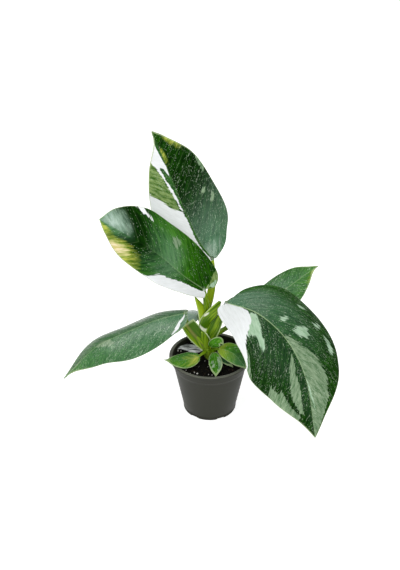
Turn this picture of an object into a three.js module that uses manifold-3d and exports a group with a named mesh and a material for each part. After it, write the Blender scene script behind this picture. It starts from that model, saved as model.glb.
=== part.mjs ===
// A potted white wizard philodendron: a plastic nursery pot of soil, and a young plant standing in it.
// Millimetres, +Z up. The origin is the centre of the pot's underside, and the plant's front faces -Y.
import * as THREE from 'three';
import { mergeVertices } from 'three/addons/utils/BufferGeometryUtils.js';
import Module from 'manifold-3d';

const wasm = await Module();
wasm.setup();

// Driving dimensions of the pot
const RIM_RADIUS = 45;
const POT_HEIGHT = 70;
const FOOT_RADIUS = 26.5;
const POT_WALL = 1.5;
const POT_SIDES = 48;
const LIP_THICKNESS = 2.2;
const LIP_OVERHANG = 3.4;
const COLLAR_HEIGHT = 9;
const COLLAR_STEP = 0.7;
const FOOT_ROUNDING = 3.5;
const FLOOR_THICKNESS = 2;
const NOTCH_COUNT = 6;
const NOTCH_WIDTH = 9;
const NOTCH_HEIGHT = 3;
const NOTCH_FIRST_ANGLE = 24;

// Driving dimensions of the soil and the crown
const GAP = 0.3;
const SOIL_LEVEL = 65;
const SOIL_MOUND = 2.5;
const SOIL_LUMP = 0.7;
const CROWN_RADIUS = 6.5;
const CROWN_FOOT = 30;
const CROWN_TOP = 84;

const SMALLEST_EDGE = 0.02;

// Driving dimensions of the blades
const BLADE_THICKNESS = 0.8;
const RIB_DEPTH = 1.4;
const VEIN_LEAN = 0.25;
const VEIN_REACH = 0.55;

// A blade's half outline, at even steps from its base to its tip. Each entry is how far along the midrib
// the margin stands, how far across, and where on the midrib the side vein that ends there starts.
const BROAD = [
  [0, 0, 0],
  [-0.02, 0.17, 0],
  [0.04, 0.48, 0.03],
  [0.22, 0.86, 0.13],
  [0.47, 1, 0.31],
  [0.72, 0.76, 0.54],
  [0.9, 0.28, 0.78],
  [1, 0, 1],
];
const BLUNT = [
  [0, 0, 0],
  [-0.08, 0.26, 0],
  [-0.05, 0.68, 0.02],
  [0.19, 0.96, 0.11],
  [0.5, 0.94, 0.32],
  [0.76, 0.89, 0.55],
  [0.93, 0.5, 0.8],
  [1, 0, 1],
];
const FULL = [
  [0, 0, 0],
  [-0.01, 0.15, 0],
  [0.05, 0.64, 0.03],
  [0.23, 0.98, 0.12],
  [0.5, 0.9, 0.32],
  [0.76, 0.68, 0.55],
  [0.93, 0.24, 0.8],
  [1, 0, 1],
];
const ACUTE = [
  [0, 0, 0],
  [-0.01, 0.17, 0],
  [0.04, 0.52, 0.03],
  [0.22, 0.9, 0.13],
  [0.48, 0.97, 0.31],
  [0.73, 0.6, 0.54],
  [0.9, 0.12, 0.78],
  [1, 0, 1],
];
const LEAN = [
  [0, 0, 0],
  [-0.03, 0.18, 0],
  [0, 0.36, 0.03],
  [0.2, 0.64, 0.13],
  [0.46, 0.96, 0.31],
  [0.73, 0.86, 0.54],
  [0.91, 0.36, 0.78],
  [1, 0, 1],
];
const SLIM = [
  [0, 0, 0],
  [0.01, 0.15, 0],
  [0.04, 0.48, 0.03],
  [0.2, 0.92, 0.13],
  [0.46, 1.05, 0.31],
  [0.72, 0.78, 0.54],
  [0.9, 0.28, 0.78],
  [1, 0, 1],
];
const WAISTED = [
  [0, 0, 0],
  [-0.02, 0.22, 0],
  [0.075, 0.48, 0.03],
  [0.25, 0.8, 0.13],
  [0.51, 1, 0.31],
  [0.73, 0.74, 0.54],
  [0.9, 0.24, 0.78],
  [1, 0, 1],
];

// The blades. Path is the midrib from its base to its tip, face is the way the upper side looks, and roll
// turns it round the midrib. Each half has its greatest width, how far it folds up from the midrib and how
// far it curls down towards the margin, in degrees, at even steps from base to tip.
const LEAVES = [
  {
    name: 'leaf_top',
    path: [[2, 16, 183], [-12, 22, 202], [-28, 22, 241], [-43, 12, 288], [-58, -4, 337]],
    face: [0.05, -1, 0.4],
    roll: [10, 0, -10],
    left: { outline: ACUTE, width: 34, fold: [10, 25], curl: [0, 10] },
    right: { outline: FULL, width: 42, fold: [0, 0], curl: [10, 10] },
    wave: 1.2,
  },
  {
    name: 'leaf_upper_left',
    path: [[-7, -6, 158], [-28, -15, 180], [-52, -27, 211], [-81, -34, 237], [-112, -22, 250]],
    face: [0.25, -0.75, 0.7],
    roll: [0, -5, -14],
    left: { outline: LEAN, width: 29, fold: [10, 10], curl: [0, 0] },
    right: { outline: BLUNT, width: 37, fold: [10, 10], curl: [20, 20] },
    wave: 1.2,
  },
  {
    name: 'leaf_left',
    path: [[-27, -2, 126], [-58, -4, 118], [-91, -7, 104], [-124, -12, 88], [-161, -18, 50]],
    face: [0, -0.5, 1],
    roll: [0],
    left: { outline: ACUTE, width: 30, fold: [-10, -10], curl: [30, 30] },
    right: { outline: BROAD, width: 30, fold: [-32, -30], curl: [30, 30] },
    wave: 1.2,
  },
  {
    name: 'leaf_right',
    path: [[17, -12, 145], [50, -34, 145], [80, -52, 123], [99, -72, 89], [110, -94, 29]],
    face: [0.3, -0.4, 1],
    roll: [0],
    left: { outline: SLIM, width: 61, fold: [8, 0], curl: [30, 30] },
    right: { outline: WAISTED, width: 56, fold: [-10, 0], curl: [30, 20] },
    wave: 1.5,
  },
  {
    name: 'leaf_right_back',
    path: [[51, 36, 110], [69, 44, 117], [87, 52, 125], [104, 58, 136], [121, 64, 146]],
    face: [0, -0.5, 1],
    roll: [0],
    left: { outline: BROAD, width: 21, fold: [0], curl: [10] },
    right: { outline: ACUTE, width: 22, fold: [0], curl: [20] },
    wave: 0.6,
  },
  {
    name: 'leaf_back',
    path: [[-13, 20, 108], [-29, 36, 101], [-45, 50, 87], [-59, 60, 71], [-71, 66, 53]],
    face: [0, -0.3, 1],
    roll: [0],
    left: { outline: BROAD, width: 22, fold: [-20, -20], curl: [30, 30] },
    right: { outline: BROAD, width: 18, fold: [-20, -10], curl: [20, 20] },
    wave: 0.6,
  },
  {
    name: 'leaf_small_left',
    path: [[-12, -12, 76], [-22, -15, 75], [-31, -17, 74.2], [-40, -19, 75], [-50, -21, 78]],
    face: [0, -0.25, 1],
    roll: [0],
    left: { outline: ACUTE, width: 12, fold: [4], curl: [8] },
    right: { outline: ACUTE, width: 12, fold: [0], curl: [20] },
    wave: 0.3,
  },
  {
    name: 'leaf_small_front',
    path: [[4, -14, 82], [5, -21, 80], [6, -28, 77], [6, -34, 72.5], [6, -39, 68]],
    face: [0, -0.3, 1],
    roll: [0],
    left: { outline: BROAD, width: 7.5, fold: [0], curl: [10] },
    right: { outline: BROAD, width: 7.5, fold: [0], curl: [20] },
    wave: 0.3,
  },
  {
    name: 'leaf_small_right',
    path: [[10, -8, 83], [17, -13, 85], [26, -18, 83], [33, -23, 77], [39, -27, 70]],
    face: [0, -0.3, 1],
    roll: [0],
    left: { outline: BROAD, width: 11, fold: [20], curl: [10] },
    right: { outline: BROAD, width: 11, fold: [0], curl: [20] },
    wave: 0.3,
  },
  {
    name: 'leaf_small_under',
    path: [[5, -10, 79], [10, -14, 78], [15, -18, 77], [20, -21, 74], [25, -24, 70]],
    face: [0, -0.3, 1],
    roll: [0],
    left: { outline: BROAD, width: 5, fold: [0], curl: [10] },
    right: { outline: BROAD, width: 5, fold: [0], curl: [20] },
    wave: 0,
  },
  {
    name: 'leaf_curled',
    path: [[1, -8, 85.5], [3.4, -16, 94], [7, -19, 100], [11, -19, 101], [14.5, -18, 95.5]],
    face: [0.1, -0.9, 0.6],
    roll: [0],
    left: { outline: BROAD, width: 6, fold: [10], curl: [50] },
    right: { outline: BROAD, width: 7, fold: [10], curl: [50] },
    wave: 0.3,
  },
];

// The papery scale leaf that hangs from the crown's foot over the soil
const DRY_SCALE = {
  name: 'dry_scale',
  path: [[-6, 3.6, 74], [-15, 9, 72.5], [-23, 13, 71], [-30, 15, 69.7], [-36, 14, 68.4]],
  face: [0, -0.4, 1],
  roll: [0],
  left: { outline: BROAD, width: 6, fold: [10], curl: [60] },
  right: { outline: BROAD, width: 6, fold: [10], curl: [60] },
  wave: 0,
};

// The petioles, one to a blade, from the crown to the blade's base. Half is the half width and deep the half
// depth, at even steps along the path.
const PETIOLES = [
  {
    path: [[-4, 1, 78], [-8, 2, 105], [-5, 4, 122], [-0.3, 6, 141], [2.5, 12, 160], [2, 16, 183.5]],
    face: [0, -1, 0.2],
    half: [4, 4.5, 4.2, 4.2, 3.4, 1.8],
    deep: [4, 4, 3.5, 3.2, 2.8, 1.6],
  },
  {
    path: [[-4, -2, 78], [-5, -3, 100], [-5, -4, 120], [-4, -6, 137], [-7, -6, 158.5]],
    face: [0.3, -1, 0.3],
    half: [5, 5.6, 5.4, 3.6, 1.6],
    deep: [4, 4, 3.4, 2.2, 1.5],
  },
  {
    path: [[-3, -1, 80], [0, -3, 98], [5, -7, 113], [11, -10, 128], [16.7, -11.9, 142.8]],
    face: [-0.6, -1, 0.5],
    half: [3.5, 3.6, 3.6, 3, 2],
    deep: [3, 3, 2.6, 2.2, 1.5],
  },
  {
    path: [[-3, -1, 80], [-11, -4, 94], [-20, -4, 106], [-26, -3, 116], [-27.2, -2, 125.6]],
    face: [0.3, -1, 0.8],
    half: [3.5, 3.2, 3, 2.6, 1.9],
    deep: [3, 3, 2.6, 2.2, 1.5],
  },
  {
    path: [[-2, 0, 80], [4, 8, 89], [16, 16, 93], [34, 26, 100], [51.4, 36.2, 109.8]],
    face: [0, -0.5, 1],
    half: [3, 3, 2.6, 2.2, 1.6],
    deep: [3, 2.6, 2.2, 1.9, 1.4],
  },
  {
    path: [[-4, 0, 80], [-7, 8, 96], [-10, 14, 104], [-13.4, 20.5, 108]],
    face: [0, -0.5, 1],
    half: [3, 3, 2.6, 1.8],
    deep: [3, 2.6, 2.2, 1.4],
  },
  {
    path: [[-3, -2, 77], [-7, -8, 78], [-12.4, -12.1, 76]],
    face: [0, -0.3, 1],
    half: [2.6, 2, 1.2],
    deep: [2, 1.6, 1],
  },
  {
    path: [[-2, -2, 78], [2, -9, 82], [4, -14.3, 82]],
    face: [0, -0.3, 1],
    half: [2.6, 1.8, 1.1],
    deep: [2, 1.5, 1],
  },
  {
    path: [[-3, 0, 77], [3, -5, 81], [10.3, -8.2, 83]],
    face: [0, -0.5, 1],
    half: [3, 2.6, 1.4],
    deep: [2.4, 1.8, 1],
  },
  {
    path: [[-2, -2, 76], [1, -7, 78.5], [5.2, -10.2, 79]],
    face: [0, -0.3, 1],
    half: [2.4, 1.6, 1],
    deep: [2, 1.4, 0.9],
  },
  {
    path: [[-2, -2, 80], [-0.5, -5.5, 82.4], [1.1, -8.2, 85.8]],
    face: [0.3, -0.9, 0.5],
    half: [2.4, 2, 1.4],
    deep: [2, 1.6, 1.2],
  },
];
const PETIOLE_SHAPE = { hollow: 0.2, sides: 8 };

// The winged sheaths that clasp the petioles: the upper left blade's, the pointed one in front of it, and the
// broad channelled ones under the right and left blades
const SHEATHS = [
  {
    path: [[-6, -1, 96], [-7.5, -4, 117], [-9.5, -6.5, 133], [-16.3, -8, 149.5]],
    face: [-0.6, 1, -0.3],
    half: [5, 5.2, 5, 0.8],
    deep: [3, 3.4, 3, 0.8],
  },
  {
    path: [[-4, 0, 84], [-6.5, -2.5, 104], [-5, -7.5, 119], [1.8, -10.5, 131], [10.4, -10, 145.8]],
    face: [-0.15, 1, 0],
    half: [4.5, 6, 6.4, 6.4, 1.7],
    deep: [3, 3.4, 3.2, 2.6, 1.2],
  },
  {
    path: [[-2, -4.4, 83], [0, -8, 99], [4, -10.5, 113], [9, -11.5, 127]],
    face: [-0.3, -1, 0.3],
    half: [5, 6.6, 7.4, 6],
    deep: [3.4, 3.4, 3.2, 2.6],
  },
  {
    path: [[-2.5, -6.5, 83.5], [-9.5, -8.5, 95], [-17.5, -9.5, 106], [-24.5, -7, 115.6]],
    face: [0.05, -1, 0.35],
    half: [6.8, 9, 9.2, 8],
    deep: [3.4, 4, 4, 3.2],
  },
];
const SHEATH_SHAPE = { hollow: 0.8, sides: 12 };
const SHEATH_SKIN = 1;

const radians = THREE.MathUtils.degToRad;

// The value at t, from 0 to 1, of a smooth curve through evenly spaced values
function along(values, t) {
  const spans = values.length - 1;
  if (spans === 0) return values[0];
  const span = Math.min(Math.floor(t * spans), spans - 1);
  const from = values[span];
  const to = values[span + 1];
  const before = span > 0 ? values[span - 1] : 2 * from - to;
  const after = span + 2 <= spans ? values[span + 2] : 2 * to - from;
  const u = t * spans - span;
  const cubic = 3 * (from - to) + after - before;
  const square = 2 * before - 5 * from + 4 * to - after;
  return from + 0.5 * u * (to - before + u * (square + u * cubic));
}

// Makes a piece's guide: its centre line, run on past its end by reach, and a frame at any share of its length
function guideOf(piece, reach = 0) {
  const points = piece.path.map((point) => new THREE.Vector3(...point));
  const curve = new THREE.CatmullRomCurve3(points, false, 'catmullrom', 0.5);
  const face = new THREE.Vector3(...piece.face);
  const length = curve.getLength();
  return (step) => {
    const share = step * (1 + reach / length);
    const inside = THREE.MathUtils.clamp(share, 0, 1);
    const tangent = curve.getTangentAt(inside);
    const origin = curve.getPointAt(inside).addScaledVector(tangent, (share - inside) * length);
    const side = new THREE.Vector3().crossVectors(tangent, face).normalize();
    const up = new THREE.Vector3().crossVectors(side, tangent).normalize();
    const roll = radians(along(piece.roll ?? [0], inside));
    const flat = side.clone().multiplyScalar(Math.cos(roll)).addScaledVector(up, -Math.sin(roll));
    up.multiplyScalar(Math.cos(roll)).addScaledVector(side, Math.sin(roll));
    return { origin, flat, up };
  };
}

// A point of a blade's upper side. Place runs from 0 at the base to 1 at the tip, in the order of the side
// veins, and across from -1 at the left margin through 0 at the midrib to 1 at the right margin.
function bladePoint(leaf, guide, place, across) {
  const half = across < 0 ? leaf.left : leaf.right;
  const share = Math.abs(across);
  const margin = [0, 1, 2].map((column) => along(half.outline.map((entry) => entry[column]), place));
  const [marginAlong, marginAcross, veinStart] = margin;
  const reach = Math.max(marginAcross, 0) * half.width;
  const rest = 1 - share;
  const bend = 2 * share * rest;
  const lean = veinStart + VEIN_LEAN * (marginAlong - veinStart);
  const down = rest * rest * veinStart + bend * lean + share * share * marginAlong;
  const out = (bend * VEIN_REACH + share * share) * reach;
  const inside = THREE.MathUtils.clamp(down, 0, 1);
  const fold = radians(along(half.fold, inside));
  const curl = radians(along(half.curl, inside)) / half.width;
  const straight = Math.abs(curl) < 1e-6;
  const sideways = straight ? out * Math.cos(fold) : (Math.sin(fold) - Math.sin(fold - curl * out)) / curl;
  const lift = straight ? out * Math.sin(fold) : (Math.cos(fold - curl * out) - Math.cos(fold)) / curl;
  const phase = across < 0 ? 1.3 : 0;
  const ripple = leaf.wave * share * share * Math.sin(6 * Math.PI * place + phase) * Math.sin(Math.PI * place);
  const { origin, flat, up } = guide(down);
  return origin
    .addScaledVector(flat, Math.sign(across) * sideways)
    .addScaledVector(up, lift + ripple);
}

// A blade as one closed solid: the upper side, the same triangles again underneath, and the margin between.
// Columns are the places of the grid's lines on each half, from the midrib to the margin.
function bladeGeometry(leaf, rows, columns) {
  const guide = guideOf(leaf);
  const across = [...columns.slice(1).reverse().map((share) => -share), ...columns];
  const width = across.length;
  const upper = [bladePoint(leaf, guide, 0, 0)];
  for (let row = 1; row < rows; row += 1) {
    for (const share of across) upper.push(bladePoint(leaf, guide, row / rows, share));
  }
  upper.push(bladePoint(leaf, guide, 1, 0));
  const last = upper.length - 1;
  const at = (row, column) => {
    if (row === 0) return 0;
    return row === rows ? last : 1 + (row - 1) * width + column;
  };
  const faces = [];
  for (let row = 0; row < rows; row += 1) {
    for (let column = 0; column < width - 1; column += 1) {
      const [a, b] = [at(row, column), at(row, column + 1)];
      const [c, d] = [at(row + 1, column + 1), at(row + 1, column)];
      if (row > 0) faces.push([a, b, c]);
      if (row < rows - 1) faces.push([a, c, d]);
      if (row === 0) faces[faces.length - 1] = [a, c, d];
    }
  }
  const sheet = new THREE.BufferGeometry().setFromPoints(upper);
  sheet.setIndex(faces.flat());
  sheet.computeVertexNormals();
  const normals = sheet.getAttribute('normal');
  const middle = (width - 1) / 2;
  const lower = upper.map((point, index) => {
    const column = index === 0 || index === last ? middle : (index - 1) % width;
    const onRib = column === middle ? RIB_DEPTH * leaf.left.width / (leaf.left.width + 20) : 0;
    const taper = 1 - index / last;
    const normal = new THREE.Vector3().fromBufferAttribute(normals, index);
    return point.clone().addScaledVector(normal, -(BLADE_THICKNESS + onRib * taper));
  });
  const count = upper.length;
  const closed = faces.map((face) => [...face]);
  for (const [a, b, c] of faces) closed.push([count + c, count + b, count + a]);
  const edge = [];
  for (let row = 0; row < rows; row += 1) edge.push([at(row, 0), at(row + 1, 0)]);
  for (let row = rows; row > 0; row -= 1) edge.push([at(row, width - 1), at(row - 1, width - 1)]);
  for (const [a, b] of edge) closed.push([a, b, count + b], [a, count + b, count + a]);
  const geometry = new THREE.BufferGeometry().setFromPoints([...upper, ...lower]);
  geometry.setIndex(closed.flat());
  return geometry;
}

// A petiole or sheath: a bar along its path, an oval in section, or a crescent where its upper side is hollow,
// with the hollow's depth from 0, an oval, to 1, a thin shell. Grow makes it larger all round.
function stalkGeometry(stalk, { hollow, sides }, grow) {
  const guide = guideOf(stalk, grow);
  const rings = 2 * stalk.path.length;
  const points = [];
  for (let ring = 0; ring <= rings; ring += 1) {
    const t = ring / rings;
    const { origin, flat, up } = guide(t);
    const half = along(stalk.half, t) + 1.5 * grow;
    const deep = along(stalk.deep, t) + grow;
    const top = deep * (1 - hollow) - hollow * Math.max(deep - SHEATH_SKIN, 0) + grow;
    for (let side = 0; side < sides; side += 1) {
      const angle = side * 2 * Math.PI / sides;
      const rise = Math.sin(angle) * (side < sides / 2 ? top : deep);
      points.push(origin.clone().addScaledVector(flat, half * Math.cos(angle)).addScaledVector(up, rise));
    }
  }
  const faces = [];
  for (let ring = 0; ring < rings; ring += 1) {
    for (let side = 0; side < sides; side += 1) {
      const next = (side + 1) % sides;
      const [a, b] = [ring * sides + side, ring * sides + next];
      const [c, d] = [a + sides, b + sides];
      faces.push([a, c, b], [b, c, d]);
    }
  }
  for (let side = 1; side < sides - 1; side += 1) {
    const end = rings * sides;
    faces.push([0, side, side + 1], [end, end + side + 1, end + side]);
  }
  const geometry = new THREE.BufferGeometry().setFromPoints(points);
  geometry.setIndex(faces.flat());
  return geometry;
}

// Turns a closed three.js geometry into a solid that can be joined and cut
function solidOf(geometry) {
  const bare = new THREE.BufferGeometry();
  bare.setAttribute('position', geometry.getAttribute('position'));
  bare.setIndex(geometry.index);
  const merged = mergeVertices(bare, 1e-3);
  return new wasm.Manifold(new wasm.Mesh({
    numProp: 3,
    vertProperties: merged.getAttribute('position').array,
    triVerts: new Uint32Array(merged.index.array),
  }));
}

// Turns a solid back into a geometry
function geometryOf(solid) {
  const mesh = solid.getMesh();
  const geometry = new THREE.BufferGeometry();
  geometry.setAttribute('position', new THREE.BufferAttribute(mesh.vertProperties, 3));
  geometry.setIndex(new THREE.BufferAttribute(mesh.triVerts, 1));
  geometry.computeVertexNormals();
  return geometry;
}

// The largest piece of a solid, without the loose scraps or closed hollows that cutting or joining left
function largestOf(solid) {
  const pieces = solid.decompose();
  return pieces.reduce((best, piece) => (piece.volume() > best.volume() ? piece : best));
}

// Spins a profile of radius and height pairs round the pot's axis
function latheGeometry(profile) {
  const points = profile.map(([radius, height]) => new THREE.Vector2(radius, height));
  return new THREE.LatheGeometry(points, POT_SIDES).rotateX(Math.PI / 2);
}

// The pot's outer radius at a height on its plain tapering side
const COLLAR_FOOT = POT_HEIGHT - LIP_THICKNESS - COLLAR_HEIGHT;
const BODY_TOP_RADIUS = RIM_RADIUS - LIP_OVERHANG - COLLAR_STEP - 0.8;
const BODY_FOOT_RADIUS = FOOT_RADIUS + 2.5;
function bodyRadius(height) {
  const share = (height - FOOT_ROUNDING) / (COLLAR_FOOT - FOOT_ROUNDING);
  return BODY_FOOT_RADIUS + share * (BODY_TOP_RADIUS - BODY_FOOT_RADIUS);
}

// The pot: a tapering cup with a collar, a flared lip, a rounded foot and drain notches
function makePot() {
  const lipFoot = POT_HEIGHT - LIP_THICKNESS;
  const collarRadius = BODY_TOP_RADIUS + COLLAR_STEP;
  const profile = [
    [0, 0],
    [FOOT_RADIUS, 0],
    [BODY_FOOT_RADIUS - 0.6, FOOT_ROUNDING / 2],
    [BODY_FOOT_RADIUS, FOOT_ROUNDING],
    [BODY_TOP_RADIUS, COLLAR_FOOT],
    [collarRadius, COLLAR_FOOT + COLLAR_STEP],
    [RIM_RADIUS - LIP_OVERHANG, lipFoot - 1],
    [RIM_RADIUS - 0.6, lipFoot],
    [RIM_RADIUS, lipFoot + 0.7],
    [RIM_RADIUS, POT_HEIGHT - 0.7],
    [RIM_RADIUS - 0.7, POT_HEIGHT],
    [RIM_RADIUS - LIP_OVERHANG + 0.5, POT_HEIGHT],
    [RIM_RADIUS - LIP_OVERHANG - 0.6, POT_HEIGHT - 1],
    [collarRadius - POT_WALL, COLLAR_FOOT + COLLAR_STEP],
    [bodyRadius(FLOOR_THICKNESS + 2) - POT_WALL, FLOOR_THICKNESS + 2],
    [bodyRadius(FLOOR_THICKNESS + 2) - POT_WALL - 1.5, FLOOR_THICKNESS],
    [0, FLOOR_THICKNESS],
  ];
  let pot = solidOf(latheGeometry(profile));
  for (let notch = 0; notch < NOTCH_COUNT; notch += 1) {
    const angle = radians(NOTCH_FIRST_ANGLE - 90 + notch * 360 / NOTCH_COUNT);
    const cutter = new THREE.BoxGeometry(10, NOTCH_WIDTH, 2 * NOTCH_HEIGHT)
      .translate(FOOT_RADIUS + 1, 0, 0)
      .rotateZ(angle);
    pot = pot.subtract(solidOf(cutter));
  }
  return geometryOf(pot);
}

// The soil's height: a low mound with lumps
function soilHeight(x, y) {
  const mound = SOIL_MOUND * (1 - (x * x + y * y) / (RIM_RADIUS * RIM_RADIUS));
  const lumps = Math.sin(0.55 * x + 1) * Math.cos(0.48 * y) + Math.sin(0.31 * x - 0.37 * y + 2);
  return SOIL_LEVEL + mound + 0.5 * SOIL_LUMP * lumps;
}

// The soil: a plug that fills the pot, with a lumpy top and a plain hole for the crown
function makeSoil() {
  const holeRadius = CROWN_RADIUS + GAP;
  const floor = FLOOR_THICKNESS + GAP;
  const bendHeight = FLOOR_THICKNESS + 2;
  const bendRadius = bodyRadius(bendHeight) - POT_WALL - GAP;
  const topRadius = bodyRadius(COLLAR_FOOT) - POT_WALL - GAP;
  const ringRadii = [14, 21, 27, 32, 36];
  const profile = [
    [0, floor],
    [bendRadius - 1.6, floor],
    [bendRadius, bendHeight],
    [topRadius, COLLAR_FOOT],
    [topRadius + 0.3, SOIL_LEVEL],
    ...ringRadii.toReversed().map((radius) => [radius, SOIL_LEVEL]),
    [holeRadius, SOIL_LEVEL],
    [holeRadius, CROWN_FOOT - GAP],
    [0, CROWN_FOOT - GAP],
  ];
  const geometry = latheGeometry(profile);
  const position = geometry.getAttribute('position');
  for (let index = 0; index < position.count; index += 1) {
    const onTop = Math.abs(position.getZ(index) - SOIL_LEVEL) < 0.01;
    if (onTop) position.setZ(index, soilHeight(position.getX(index), position.getY(index)));
  }
  return geometryOf(solidOf(geometry));
}

// The crown and everything that grew from it, joined in one solid
function stemSolid(grow) {
  const crown = latheGeometry([
    [0, CROWN_FOOT],
    [CROWN_RADIUS + grow, CROWN_FOOT],
    [CROWN_RADIUS + grow, SOIL_LEVEL + 6],
    [CROWN_RADIUS - 1 + grow, CROWN_TOP - 3],
    [CROWN_RADIUS / 2, CROWN_TOP],
    [0, CROWN_TOP],
  ]);
  const petioles = PETIOLES.map((petiole) => stalkGeometry(petiole, PETIOLE_SHAPE, grow));
  const sheaths = SHEATHS.map((sheath) => stalkGeometry(sheath, SHEATH_SHAPE, grow));
  const joined = [...petioles, ...sheaths].reduce((stem, part) => stem.add(solidOf(part)), solidOf(crown));
  return largestOf(joined).simplify(SMALLEST_EDGE);
}

// A blade, cut clear of the stem that carries it
function makeBlade(leaf, clearance) {
  const large = leaf.left.width > 15;
  const columns = large ? [0, 0.06, 0.24, 0.46, 0.72, 1] : [0, 0.3, 0.65, 1];
  const blade = solidOf(bladeGeometry(leaf, large ? 20 : 10, columns));
  return geometryOf(largestOf(blade.subtract(clearance)).simplify(SMALLEST_EDGE));
}

const plant = new THREE.Group();

function addPart(name, geometry, color, roughness) {
  const material = new THREE.MeshStandardMaterial({ color, roughness, metalness: 0 });
  const mesh = new THREE.Mesh(geometry, material);
  mesh.name = name;
  plant.add(mesh);
}

const clearance = stemSolid(GAP);
addPart('pot', makePot(), 0x45463f, 0.6);
addPart('soil', makeSoil(), 0x1c1814, 0.95);
addPart('stem', geometryOf(stemSolid(0)), 0x5f8a12, 0.45);
for (const leaf of LEAVES) addPart(leaf.name, makeBlade(leaf, clearance), 0x2c5f2c, 0.35);
addPart(DRY_SCALE.name, makeBlade(DRY_SCALE, clearance), 0xb5b3ad, 0.7);

export default plant;
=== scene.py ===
import math
import random

import bmesh
import bpy
import numpy as np
from mathutils import Euler, Matrix, Vector, noise


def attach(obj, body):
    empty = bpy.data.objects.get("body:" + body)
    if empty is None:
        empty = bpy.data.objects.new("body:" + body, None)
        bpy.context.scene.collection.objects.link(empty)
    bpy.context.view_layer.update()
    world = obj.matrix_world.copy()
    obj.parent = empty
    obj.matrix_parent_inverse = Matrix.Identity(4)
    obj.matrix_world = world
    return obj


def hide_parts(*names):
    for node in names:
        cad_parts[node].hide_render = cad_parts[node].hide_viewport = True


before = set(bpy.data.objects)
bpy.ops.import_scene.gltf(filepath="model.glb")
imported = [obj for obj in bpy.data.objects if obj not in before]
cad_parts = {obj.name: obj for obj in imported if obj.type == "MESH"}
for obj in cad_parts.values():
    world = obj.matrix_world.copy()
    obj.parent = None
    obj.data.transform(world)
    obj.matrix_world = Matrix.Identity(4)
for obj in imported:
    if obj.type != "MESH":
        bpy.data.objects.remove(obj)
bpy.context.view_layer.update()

BODY = "root"
MM = 0.001

# Blades: those whose left side is wider than the first value get more rows and columns, and are quilted
LARGE_BLADE_WIDTH = 15
LARGE_GRID = (160, 96)
SMALL_GRID = (70, 40)
SCALE_GRID = (60, 30)
COLUMN_CROWDING = 1.25
BLADE_THICKNESS = 0.8
RIB_THICKNESS = 2.2
RIB_HALF_WIDTH = 1.3
RIB_GROOVE = 0.2
RIB_GROOVE_TAPER = 0.7
PALE_RIB_HALF = 0.78
PALE_RIB_TAPER = 0.6
SMALL_RIB = 0.4
VEIN_LEAN = 0.25
VEIN_REACH = 0.55
VEIN_SPACING = 11.0
VEIN_SWEEP = 1.1
VEIN_BOW = 1 / 120
VEIN_GROOVE = 0.08
VEIN_GROOVE_HALF = 1.0
QUILT_HEIGHT = 0.12
QUILT_BEGINS = (0.03, 0.25)
QUILT_ENDS = (0.75, 1.0)
WAVES = 3
WAVE_SHIFT = 1.3
# Where a blade's painted sheen thins out towards its margin
PAINTED_SHEEN_THINS = (0.35, 0.85)
MARK_FAR = 30.0
SEED_STEP = 400.0

# What each point of a blade carries while the blade is made, and what its skin reads beside the markings
BLADE_LAYERS = ("place", "across", "out", "vein")
BLADE_FIELDS = ("vein", "reach", "light", "painted_sheen_and_gloss", "fleck", "rib", "pale_rib", "margin")

# Stalks
MIDLINE_SHARE = -0.28
MIDLINE_HALF = 0.11
PETIOLE_HOLLOW = 0.2
SHEATH_SKIN = 0.9
SHEATH_MARGIN = 0.5
PALE_END = 0.045
STALK_RINGS = 56
STALK_SIDES = 32
STALK_SEED_STEP = 40
STALK_FIELDS = ("length", "round", "edge", "rise", "midline", "olive", "tone", "papery")

# Crown, soil and pot
CROWN_RADIUS = 6.5
CROWN_FOOT = 60
CROWN_TOP = 84
CROWN_SHOULDER = 0.8
CROWN_SHRINK = 0.5
CROWN_RINGS = 31
CROWN_SIDES = 48
SCAR_HEIGHT = 0.2
GAP = 0.3
SOIL_LEVEL = 65
SOIL_MOUND = 2.5
SOIL_LUMP = 0.7
SOIL_CLOD = 0.55
SOIL_RADIUS = 38.9
SOIL_RINGS = 60
GRAIN_INSET = 1.2
GRAIN_RAGGED = 0.18
FIBRE_COUNT = 70
FIBRE_SEED = 11
FIBRE_INSET = 5
FIBRE_RADIUS = 0.14
FIBRE_LENGTHS = (3, 8)
FIBRE_ARCHES = (0.2, 1.2)
FIBRE_BOW = 0.25
RIM_RADIUS = 45
POT_HEIGHT = 70
FOOT_RADIUS = 26.5
POT_WALL = 1.5
LIP_THICKNESS = 2.2
LIP_OVERHANG = 3.4
LIP_ROUNDING = 0.9
COLLAR_HEIGHT = 9
COLLAR_STEP = 0.7
COLLAR_FOOT = POT_HEIGHT - LIP_THICKNESS - COLLAR_HEIGHT
BODY_TOP_RADIUS = RIM_RADIUS - LIP_OVERHANG - COLLAR_STEP - 0.8
BODY_FOOT_RADIUS = FOOT_RADIUS + 2.5
BODY_RINGS = 20
FOOT_ROUNDING = 3.5
FOOT_RECESS = 0.5
FOOT_RECESS_RADIUS = 12
FLOOR_THICKNESS = 2
FLOOR_BEND = FLOOR_THICKNESS + 2
NOTCH_COUNT = 6
NOTCH_WIDTH = 9
NOTCH_HEIGHT = 3
NOTCH_FIRST_ANGLE = 24
NOTCH_DEPTH_RADIUS = 22.5
SPIN_STEPS = 144
POLE_RADIUS = 0.01
POLE_MERGE = 0.012

# Camera and light, in metres, degrees and watts
CAMERA_PLACE = (-0.011, -0.998, 0.764)
CAMERA_PITCH = 31.2
CAMERA_LENS = 69.5
SENSOR_WIDTH = 36
ROOM_LIGHT = 0.22
FLOOR_GLOW = 0.72
FLOOR_HALF_WIDTH = 6
SOFTBOXES = {
    "overhead_softbox": {"place": (-0.1, 0.55, 2.0), "aim": (0, 0.2, 0), "size": 2.4, "power": 22},
    "left_softbox": {"place": (-0.9, -1.15, 1.5), "aim": (0, 0, 0.15), "size": 0.8, "power": 12},
    "front_softbox": {"place": (0.35, -1.4, 1.15), "aim": (0, 0, 0.2), "size": 0.9, "power": 16},
}

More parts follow.
